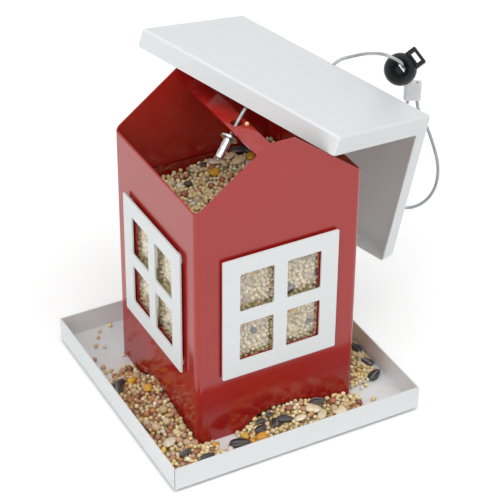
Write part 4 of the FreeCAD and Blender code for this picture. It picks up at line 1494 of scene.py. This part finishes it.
@dataclass
class SeedFill:
    """Loose seed in the hopper, behind the panes and on the tray."""

    floor: float = 0.8
    clearance: float = 0.02
    tray_half: float = 77.9
    wall: float = 50.6
    inside: float = 48.7
    top: float = 121.2
    top_slope: float = 0.09
    window_middle: float = 83.1
    nut_across: float = 30.55
    nut_up: float = 34.35
    nut_radius: float = 4.2
    nut_face: float = 45.4
    arch_half: float = 23.0
    arch_rise: float = 11.0
    arch_count: int = 260
    arch_heights: Span = (1.5, 12.0)
    arch_depths: Span = (-0.8, 1.6)
    pane_spans: tuple[Span, Span] = ((-30.0, 30.0), (46.0, 115.5))
    pane_waves: Waves = ((0.7, 3.0, 2.2),)
    top_waves: Waves = ((1.2, 26.0, 3.7), (0.8, 8.0, 9.1))
    heap_waves: Waves = ((0.8, 9.0, 0.3), (0.48, 4.0, 5.2))
    pane_play: Span = (0.0, 0.4)
    top_play: Span = (-0.4, 0.4)
    tray_play: Span = (-0.3, 0.4)
    heap_edge: Span = (0.1, 1.6)
    headings: Span = (0.0, 360.0)
    set_tilt: float = 0.18
    top_tilt: float = 0.25
    tray_tilt: float = 0.45
    pane_room: float = 1.12
    wall_room: float = 1.1
    rim_room: float = 1.15
    floor_room: float = 0.95
    heap_room: float = 0.4
    sunk: float = 0.4
    flatness: float = 0.75
    pane_closeness: float = 0.89
    heap_closeness: float = 0.80
    arch_closeness: float = 0.82
    tries: int = 14
    strap_seed: Place = (3.6, -5.2, 173.0)
    # Painted shade: the sheet behind the pane seed is darkened millet colour.
    painted_shade_bed_tint: Colour = (0.74, 0.60, 0.34)
    # Painted shade: the block below the hopper's seed is darkened seed colour.
    painted_shade_core_tint: Colour = (0.52, 0.38, 0.19)
    # Painted shade: the sheet below the heaps is darkened seed colour.
    painted_shade_heap_tint: Colour = (0.46, 0.33, 0.17)
    pane_layers: tuple[SeedLayer, ...] = (SeedLayer(1400, 0.0, True), SeedLayer(1100, 1.1, False))
    top_layers: tuple[SeedLayer, ...] = (SeedLayer(1900, 0.0, True), SeedLayer(1500, 2.0, False))
    tray_layers: tuple[SeedLayer, ...] = (SeedLayer(2200, 0.0, True), SeedLayer(1760, 2.1, False))
    left_counts: tuple[int, ...] = (1000, 800)
    mounds: tuple[Mound, ...] = (
        Mound(-50.0, -20.0, 46.0, 55.0, 10.5, high=(-50.0, 80.0)),
        Mound(-60.0, -62.0, 22.0, 20.0, 6.0, high=(-41.0, 80.0)),
        Mound(8.0, -50.0, 37.0, 36.0, 12.0, low=(-29.0, -80.0), high=(80.0, -50.0)),
        Mound(36.0, -54.0, 19.0, 22.0, 7.0, high=(52.0, -50.0)),
        Mound(50.0, -18.0, 31.0, 36.0, 9.5, low=(50.0, -46.0)),
        Mound(66.0, 2.0, 18.0, 26.0, 6.0, low=(50.0, -46.0)),
        Mound(2.0, 50.0, 36.0, 31.0, 10.5, low=(-80.0, 50.0)))
    tray_seeds: tuple[SetSeed, ...] = set_out(
        (SUNFLOWER, (23.9, -56.2, -25.0, 1.4)),
        (HUSK_BIT, (-6.5, -54.4, 10.0, 1.3), (-12.0, -55.2, -10.0, 1.3)),
        (SUNFLOWER, (-14.0, -59.4, 12.0), (-5.6, -60.0, 65.0), (0.2, -61.5, -20.0), (-29.4, -62.0, -25.0),
         (74.0, -16.0, 95.0), (73.1, -30.2, 100.0), (70.9, -42.7, 30.0), (-66.9, 18.8, 20.0),
         (-70.6, 12.5, 70.0), (-61.7, -57.3, 18.0), (-52.2, -65.7, 12.0)),
        (CORN, (-24.1, -57.5, 80.0), (-22.2, -63.0, 20.0), (-16.0, -64.6, 8.0), (-60.1, 15.7, 10.0),
         (-56.5, 1.5, 60.0), (-71.5, -49.0, 30.0), (-41.7, -56.0)),
        (FLAKE, (18.7, -60.4, -30.0), (21.6, -65.5, 40.0), (34.3, -65.9, 35.0), (8.3, -64.6, 5.0),
         (-66.4, -46.6, 25.0)),
        (PEA, (-67.7, -32.8), (-58.1, -23.0), (-60.5, -31.8)),
        (WHITE_CHIP, (-40.0, -61.0), (-36.4, -63.2, 50.0), (58.2, -49.4, 20.0)),
        (MILO, (-70.2, 47.5), (-64.4, -26.8), (-56.6, -45.7), (5.4, -56.0), (13.6, -54.5), (33.7, -57.1),
         (43.0, -66.0), (48.5, -68.5)),
        (MILLET, (-47.6, 75.2), (-55.9, 72.9, 30.0), (-59.1, 67.2), (-63.8, 60.0, 40.0), (-59.7, 57.3, 80.0),
         (-68.7, 38.5, 10.0), (-69.2, 33.7, 50.0), (-65.6, 33.5), (-65.1, 29.9, 20.0), (-52.8, 44.4, 60.0),
         (-57.1, 33.6, 30.0), (59.0, -61.5), (62.0, -48.3, 20.0)),
        (WHEAT, (15.1, -64.0, 15.0), (-66.0, 26.0, 35.0)))
    top_seeds: tuple[SetSeed, ...] = set_out(
        (FLAKE, (17.6, 41.4, 20.0, 1.0), (20.2, 34.6, 10.0, 0.9)),
        (SUNFLOWER, (26.0, 44.6, -10.0, 1.0), (31.2, 39.4, -35.0, 0.9)),
        (CORN, (27.2, 33.8, 70.0, 0.9), (2.6, 32.0, 15.0)),
        (FLAKE, (8.7, 41.4, -15.0, 0.8)), (HUSK_BIT, (1.2, 43.4, 12.0)), (WHITE_CHIP, (-6.8, 41.6)),
        (MILO, (-11.4, 39.6)), (HUSK_BIT, (-13.9, 31.8, -30.0)), (PEA, (-23.0, 36.5)), (MILO, (-16.8, 41.0)),
        (PEA, (11.2, 34.6)), (MILO, (4.0, 37.4), (-20.4, 24.0), (-4.2, 22.0)), (WHEAT, (9.0, 24.0, 40.0)))
    pane_seeds: tuple[SetSeed, ...] = set_out(
        (SUNFLOWER, (8.6, 88.9)), (HUSK_BIT, (21.4, 62.6), (-14.3, 68.0)), (WHITE_CHIP, (-20.4, 98.6)),
        (CORN, (-14.0, 107.0), (11.0, 72.0)), (FLAKE, (-18.6, 91.6)))
    chance: np.random.Generator = field(default_factory=lambda: np.random.default_rng(DRAW_SEED))
    basket: SeedBasket = field(init=False)

    def build(self, rack: FinishRack) -> None:
        """Make the seed behind the panes, in the hopper and on the tray.

        Args:
            rack: the feeder's finishes.
        """
        mould = SeedMould(self.chance)
        fills: dict[str, Callable[[], None]] = {
            "seed_behind_front_and_right": lambda: self._fill_panes(0, 1),
            "seed_behind_back_and_left": lambda: self._fill_panes(2, 3),
            "seed_in_hopper": self._fill_top,
            "seed_on_tray": self._fill_tray}
        for name, fill in fills.items():
            self.basket = SeedBasket(mould, self.chance, self.floor + self.clearance)
            fill()
            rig.ride(self.basket.make(name, rack.seed), BodyName.HOUSE.value)

    def _scatter(self, mix: SeedMix, count: int, spans: tuple[Span, Span],
                 allowed: Callable[[float, float, SeedKind], bool], packer: DiscPacker) -> list[ThrownSeed]:
        """Throw seeds of a mix at a rectangle, the largest first.

        Args:
            mix: kinds and shares.
            count: how many are thrown.
            spans: the rectangle's two spans.
            allowed: whether a seed may lie at a place.
            packer: keeps them apart.

        Returns:
            The seeds that found room, with their places.
        """
        kinds = list(mix)
        shares = np.array(list(mix.values()))
        picks = self.chance.choice(len(kinds), size=count, p=shares / shares.sum())
        found = []
        for kind in sorted((kinds[pick] for pick in picks), key=lambda item: -item.disc()):
            for _ in range(self.tries):
                a, b = (self.chance.uniform(*span) for span in spans)
                if allowed(a, b, kind) and packer.fits(a, b, kind.disc()):
                    packer.keep(a, b, kind.disc())
                    found.append((kind, a, b))
                    break
        return found

    def _lay_set(self, seeds: tuple[SetSeed, ...], surface: Callable[[float, float], float]) -> DiscPacker:
        """Lay seeds at their own places.

        Args:
            seeds: the seeds.
            surface: height of what they lie on.

        Returns:
            A packer that keeps their places.
        """
        packer = DiscPacker(self.heap_closeness)
        for seed in seeds:
            thick = seed.kind.half[2]
            height = max(self.floor + thick, surface(seed.x, seed.y) + thick * (seed.lift - self.sunk))
            self.basket.add(seed.kind, (seed.x, seed.y, height), self.basket.lying(seed.yaw, self.set_tilt))
            packer.keep(seed.x, seed.y, seed.kind.disc())
        return packer

    def _strew(self, seeds: list[ThrownSeed], surface: Callable[[float, float], float], layer: SeedLayer,
               play: Span, tilt: float) -> None:
        """Lay thrown seeds on a surface.

        Args:
            seeds: the seeds with their places.
            surface: height of what they lie on.
            layer: the layer that they make.
            play: how far they stand lower or higher.
            tilt: largest lean of a flat seed in radians.
        """
        for kind, x, y in seeds:
            thick = kind.half[2]
            height = surface(x, y) - 0.5 * thick - layer.depth + self.chance.uniform(*play)
            flat = thick < self.flatness * kind.half[0]
            turn = self._level(tilt) if flat else self.basket.tumbled()
            lowest = self.floor + thick * self.floor_room
            self.basket.add(kind, (x, y, max(lowest, height)), turn, layer.fine)

    def _level(self, tilt: float) -> np.ndarray:
        """The turn of a flat seed that lies in any heading."""
        return self.basket.lying(self.chance.uniform(*self.headings), tilt)

    def _fill_panes(self, *walls: int) -> None:
        """Press seed against the panes of some walls.

        Args:
            walls: numbers of the walls.
        """
        for wall in walls:
            for layer in self.pane_layers:
                self._fill_pane(wall, layer)
            self._add_pane_bed(wall)

    def _fill_pane(self, wall: int, layer: SeedLayer) -> None:
        """Press a layer of seed against one pane.

        Args:
            wall: number of the wall.
            layer: the layer.
        """
        packer = DiscPacker(self.pane_closeness)
        single = self.pane_seeds if layer.fine and wall == 0 else ()
        seeds = [(seed.kind, seed.x, seed.y) for seed in single]
        for kind, across, height in seeds:
            packer.keep(across, height, kind.disc())
        seeds += self._scatter(PANE_MIX, layer.count, self.pane_spans, self._clear_of_nuts, packer)
        turn = wall_turn(wall)
        for kind, across, height in seeds:
            husk = kind.form is SeedForm.HUSK
            thick = kind.half[2] if husk else kind.half[0]
            deep = thick * self.pane_room + layer.depth + self.chance.uniform(*self.pane_play)
            place = turn @ Vector((across, deep - self.inside, height))
            way = self._flat_on(turn) if husk else self.basket.tumbled()
            self.basket.add(kind, place[:], way, layer.fine)

    def _flat_on(self, turn: Matrix) -> np.ndarray:
        """The turn of a husk that lies flat against the pane of a turned wall."""
        spun = Matrix.Rotation(self.chance.uniform(0, FULL_TURN), 3, "Z")
        return np.array(turn @ (Matrix.Rotation(math.pi / 2, 3, "X") @ spun))

    def _clear_of_nuts(self, across: float, height: float, kind: SeedKind) -> bool:
        """Whether a seed against a pane is clear of the push nuts."""
        away = math.hypot(abs(across) - self.nut_across, abs(height - self.window_middle) - self.nut_up)
        return away > self.nut_radius + kind.half[0]

    def _add_pane_bed(self, wall: int) -> None:
        """Lumpy sheet behind the seed that lies against one pane, darkened as painted shade.

        Args:
            wall: number of the wall.
        """
        half_across, half_up, deep, drop, cells = 29.0, 34.0, 3.2, 2.0, 24
        builder = bmesh.new()
        bmesh.ops.create_grid(builder, x_segments=cells, y_segments=cells, size=1.0)
        points, faces = read_mesh(builder)
        turn = wall_turn(wall)
        places = []
        for across, up in zip(points[:, 0] * half_across, points[:, 1] * half_up):
            back = deep + ripples(across, up, self.pane_waves) - self.inside
            places.append((turn @ Vector((across, back, self.window_middle - drop + up)))[:])
        # Its colour is painted shade, darker than the seeds in front of it.
        self.basket.add_mesh(np.array(places), faces, self.painted_shade_bed_tint)

    def _bed_height(self, x: float, y: float) -> float:
        """Height of the seed's surface inside the hopper."""
        return self.top + self.top_slope * x + ripples(x, y, self.top_waves)

    def _fill_top(self) -> None:
        """Lay the surface of the seed in the hopper over a lumpy core."""
        reach = (-self.inside, self.inside)
        packer = self._lay_set(self.top_seeds, self._bed_height)
        for layer in self.top_layers:
            seeds = self._scatter(TOP_MIX, layer.count, (reach, reach), self._off_walls, packer)
            packer = DiscPacker(self.heap_closeness)
            self._strew(seeds, self._bed_height, layer, self.top_play, self.top_tilt)
        self._add_core()

    def _off_walls(self, x: float, y: float, kind: SeedKind) -> bool:
        """Whether a seed on the hopper's surface is clear of walls, panes and push nuts.

        Args:
            x: place across.
            y: place along.
            kind: kind of the seed.

        Returns:
            Whether it is clear.
        """
        size = kind.half[0]
        if max(abs(x), abs(y)) > self.inside - size * self.wall_room:
            return False
        for near, across in ((abs(y), abs(x)), (abs(x), abs(y))):
            if near > self.nut_face - size and abs(across - self.nut_across) < self.nut_radius + size:
                return False
        return True

    def _add_core(self) -> None:
        """Lumpy block of seed in the middle of the hopper, behind what shows, darkened as painted shade."""
        half, low, high, cells = 44.0, 2.6, self.top - 6.0, 30
        lump, lump_size = 0.8, 3.0
        builder = bmesh.new()
        bmesh.ops.create_grid(builder, x_segments=cells, y_segments=cells, size=half)
        rim = [edge for edge in builder.edges if edge.is_boundary]
        for item in bmesh.ops.extrude_edge_only(builder, edges=rim)["geom"]:
            if isinstance(item, bmesh.types.BMVert):
                item.co.z = low - high
        points, faces = read_mesh(builder)
        points[:, 2] += high
        lumps = np.array([lump * noise.noise(Vector(point) / lump_size) for point in points])
        points[:, 2] += np.where(points[:, 2] > low + 1.0, lumps, 0.0)
        # Its colour is painted shade, darker than the seeds above it.
        self.basket.add_mesh(points, faces, self.painted_shade_core_tint)

    def _heap_height(self, x: float, y: float) -> float:
        """Height of the heaps' surface, or of the bare tray, outside the house."""
        return self.floor + self.rise(x, y)

    def rise(self, x: float, y: float) -> float:
        """Height of the heaps on the tray over a place outside the house.

        Args:
            x: place across.
            y: place along.

        Returns:
            The height in millimetres.
        """
        base = max(mound.rise(x, y) for mound in self.mounds)
        if base <= 0.0:
            return 0.0
        return max(0.0, base + ripples(x, y, self.heap_waves))

    def _heaped(self, x: float, y: float, kind: SeedKind) -> bool:
        """Whether a seed lies in a heap that thins out at its edge, clear of the rim and the house.

        Args:
            x: place across.
            y: place along.
            kind: kind of the seed.

        Returns:
            Whether it may lie there.
        """
        nearest = self.wall + kind.half[0] * self.wall_room
        farthest = self.tray_half - kind.half[0] * self.rim_room
        if not nearest < max(abs(x), abs(y)) <= farthest:
            return False
        return self.rise(x, y) > self.chance.uniform(*self.heap_edge) + self.heap_room * kind.half[2]

    def _fill_tray(self) -> None:
        """Heap seed round the house, with the single seeds that lie apart."""
        reach = (-self.tray_half, self.tray_half)
        left = ((-self.tray_half, -self.wall), reach)
        elsewhere = ((-self.wall, self.tray_half), reach)
        packer = self._lay_set(self.tray_seeds, self._heap_height)
        for left_count, layer in zip(self.left_counts, self.tray_layers):
            seeds = self._scatter(LEFT_MIX, left_count, left, self._heaped, packer)
            seeds += self._scatter(TRAY_MIX, layer.count, elsewhere, self._heaped, packer)
            packer = DiscPacker(self.heap_closeness)
            self._strew(seeds, self._heap_height, layer, self.tray_play, self.tray_tilt)
        for wall in range(len(SIDES)):
            self._fill_arch(wall)
        self._add_heap_core()
        self.basket.add(MILLET, self.strap_seed, self.basket.tumbled())

    def _under_arch(self, across: float, height: float, kind: SeedKind) -> bool:
        """Whether a seed in a feed arch clears the arch and the tray.

        Args:
            across: place across the arch.
            height: its height.
            kind: kind of the seed.

        Returns:
            Whether it is clear.
        """
        radius = (self.arch_half ** 2 + self.arch_rise ** 2) / (2.0 * self.arch_rise)
        centre = self.floor + self.arch_rise - radius
        size = kind.half[0] * self.rim_room
        return height > self.floor + size and math.hypot(across, height - centre) < radius - size

    def _fill_arch(self, wall: int) -> None:
        """Fill the feed arch of one wall with seed.

        Args:
            wall: number of the wall.
        """
        turn = wall_turn(wall)
        spans = ((-self.arch_half, self.arch_half), self.arch_heights)
        packer = DiscPacker(self.arch_closeness)
        for kind, across, height in self._scatter(ARCH_MIX, self.arch_count, spans, self._under_arch, packer):
            place = turn @ Vector((across, -self.wall + self.chance.uniform(*self.arch_depths), height))
            self.basket.add(kind, place[:], self.basket.tumbled())

    def _add_heap_core(self) -> None:
        """Lumpy sheet below the seeds of the heaps, darkened as painted shade."""
        step, below, deepest, least, off_wall = 1.5, 2.6, -1.6, 0.05, 0.3
        count = int(2 * self.tray_half / step)
        lines = [-self.tray_half + step * index for index in range(count + 1)]
        index_of: dict[tuple[int, int], int] = {}
        points: list[Place] = []
        faces: list[tuple[int, int, int]] = []
        for i, x in enumerate(lines):
            for j, y in enumerate(lines):
                rise = self.rise(x, y) - below
                if max(abs(x), abs(y)) > self.wall + off_wall and rise > deepest:
                    index_of[i, j] = len(points)
                    points.append((x, y, self.floor + max(least, rise)))
        for i, j in index_of:
            square = [(i, j), (i + 1, j), (i + 1, j + 1), (i, j + 1)]
            if all(corner in index_of for corner in square):
                a, b, c, d = (index_of[corner] for corner in square)
                faces += [(a, b, c), (a, c, d)]
        # Its colour is painted shade, darker than the seeds above it.
        self.basket.add_mesh(np.array(points), np.array(faces), self.painted_shade_heap_tint)


# Studio


@dataclass
class Studio:
    """Pale floor, soft light and the camera at the photograph's view, in metres."""

    camera_place: Place = (-0.41043, -0.77596, 0.68486)
    right: Place = (0.8823860, -0.4704469, 0.0086399)
    down: Place = (-0.2580843, -0.4992619, -0.8271215)
    forward: Place = (0.3934303, 0.7276106, -0.5619567)
    focal_pixels: float = 1863.0
    image_width: float = 500.0
    sensor: float = 36.0
    clip: Span = (0.01, 50.0)
    world_light: float = 0.496
    mirrored_world: float = 0.8
    floor_half: float = 1.6
    floor_drop: float = 1.3 * MM
    floor_colour: Colour = (0.95, 0.95, 0.95)
    floor_lift: float = 0.20
    # Band round the tray where the floor's lift fades out, a painted contact shadow.
    contact_shadow_edge: Span = (78.25 * MM, 80.25 * MM)
    far_lift: float = 0.45
    far_edge: Span = (0.5, 1.5)
    lamp_target: Place = (0.02, 0.0, 0.09)
    lamps: tuple[tuple[str, Place, float, float], ...] = (
        ("overhead", (-0.35, -0.45, 1.8), 1.5, 0.29),
        ("left_fill", (-1.30, -0.70, 0.90), 1.2, 0.25),
        ("right_key", (0.60, -0.70, 1.75), 1.4, 0.27))

    def build(self) -> None:
        """Set the floor, the world, the lamps and the camera."""
        bpy.context.scene.view_settings.view_transform = "Standard"
        self._floor()
        self._world()
        for lamp in self.lamps:
            self._lamp(*lamp)
        self._camera()

    @staticmethod
    def _rays(desk: NodeDesk) -> tuple[Socket, Socket]:
        """Masks of the rays straight from the camera, and of those mirrored or let through."""
        path = desk.add("LightPath").outputs
        return path["Is Camera Ray"], desk.sums("MAXIMUM", path["Is Glossy Ray"], path["Is Transmission Ray"])

    def _floor(self) -> None:
        """Wide pale floor that keeps the object's shadow, with a painted contact shadow where its lift fades out close
        round the tray.
        """
        half, low = self.floor_half, -self.floor_drop
        corners = [(-half, -half, low), (half, -half, low), (half, half, low), (-half, half, low)]
        mesh = bpy.data.meshes.new("floor")
        mesh.from_pydata(corners, [], [(0, 1, 2, 3)])
        material = bpy.data.materials.new("pale_floor")
        desk = empty_desk(material)
        straight, mirrored = self._rays(desk)
        place = desk.add("NewGeometry").outputs["Position"]
        away = desk.add("VectorMath", place, operation="LENGTH").outputs["Value"]
        far = desk.spread(away, *self.far_edge, 0.0, self.far_lift)
        axes = desk.add("SeparateXYZ", place).outputs
        square = desk.sums("MAXIMUM", *(desk.sums("ABSOLUTE", axes[axis]) for axis in "XY"))
        # Painted contact shadow: the floor's lift is taken away in a band round the tray's edge.
        bare = desk.spread(square, *self.contact_shadow_edge, 0.0, self.floor_lift)
        near = desk.sums("MULTIPLY", desk.sums("MAXIMUM", straight, mirrored), bare)
        level = desk.sums("ADD", near, desk.sums("MULTIPLY", straight, far))
        paper = desk.add("BsdfDiffuse", opaque(self.floor_colour)).outputs[0]
        lift = desk.add("Emission", WHITE, level).outputs[0]
        desk.add("OutputMaterial", desk.add("AddShader", paper, lift).outputs[0])
        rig.stage(link_mesh("floor", mesh, material))

    def _world(self) -> None:
        """Even pale light, white where the camera sees it."""
        world = bpy.data.worlds.new("studio")
        bpy.context.scene.world = world
        desk = empty_desk(world)
        straight, mirrored = self._rays(desk)
        pale = desk.sums("MAXIMUM", desk.sums("MULTIPLY", mirrored, self.mirrored_world), self.world_light)
        sky = desk.add("Background", WHITE, desk.sums("MAXIMUM", straight, pale))
        desk.add("OutputWorld", sky.outputs[0])

    def _lamp(self, name: str, place: Place, size: float, level: float) -> None:
        """Square soft lamp that looks at the house.

        Args:
            name: name of the lamp.
            place: its place in metres.
            size: its side in metres.
            level: share of a full light on a face turned to it.
        """
        away = Vector(place) - Vector(self.lamp_target)
        lamp = bpy.data.lights.new(name, "AREA")
        lamp.shape = "SQUARE"
        lamp.size = size
        lamp.energy = level * math.pi ** 2 * away.length_squared
        holder = bpy.data.objects.new(name, lamp)
        holder.location = place
        holder.rotation_euler = away.to_track_quat("Z", "Y").to_euler()
        bpy.context.scene.collection.objects.link(holder)

    def _camera(self) -> None:
        """Camera with the photograph's place, turn and lens."""
        data = bpy.data.cameras.new("camera")
        data.sensor_width = self.sensor
        data.lens = self.focal_pixels * self.sensor / self.image_width
        data.clip_start, data.clip_end = self.clip
        camera = bpy.data.objects.new("camera", data)
        turn = Matrix((Vector(self.right), -Vector(self.down), -Vector(self.forward))).transposed()
        camera.matrix_world = Matrix.Translation(self.camera_place) @ turn.to_4x4()
        bpy.context.scene.collection.objects.link(camera)
        bpy.context.scene.camera = camera


def write_sizes() -> None:
    boxes = {"cad": [list(corner) for corner in CAD_BOX], "visual": [list(corner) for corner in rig.bounds()]}
    with open("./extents.json", "w", encoding="utf-8") as target:
        json.dump(boxes, target, indent=1)


def main() -> None:
    """Build the feeder's looks piece by piece."""
    logging.basicConfig(level=logging.INFO, format="%(message)s")
    Studio().build()
    rack = FinishRack()
    cable = HangingCable()
    cable.build(rack)
    cable.dress(rack)
    for piece in (Tray(), Hopper(), Roof(), *(Window(side) for side in SIDES)):
        piece.dress(rack)
    SeedFill().build(rack)
    write_sizes()


if __name__ == "__main__":
    main()
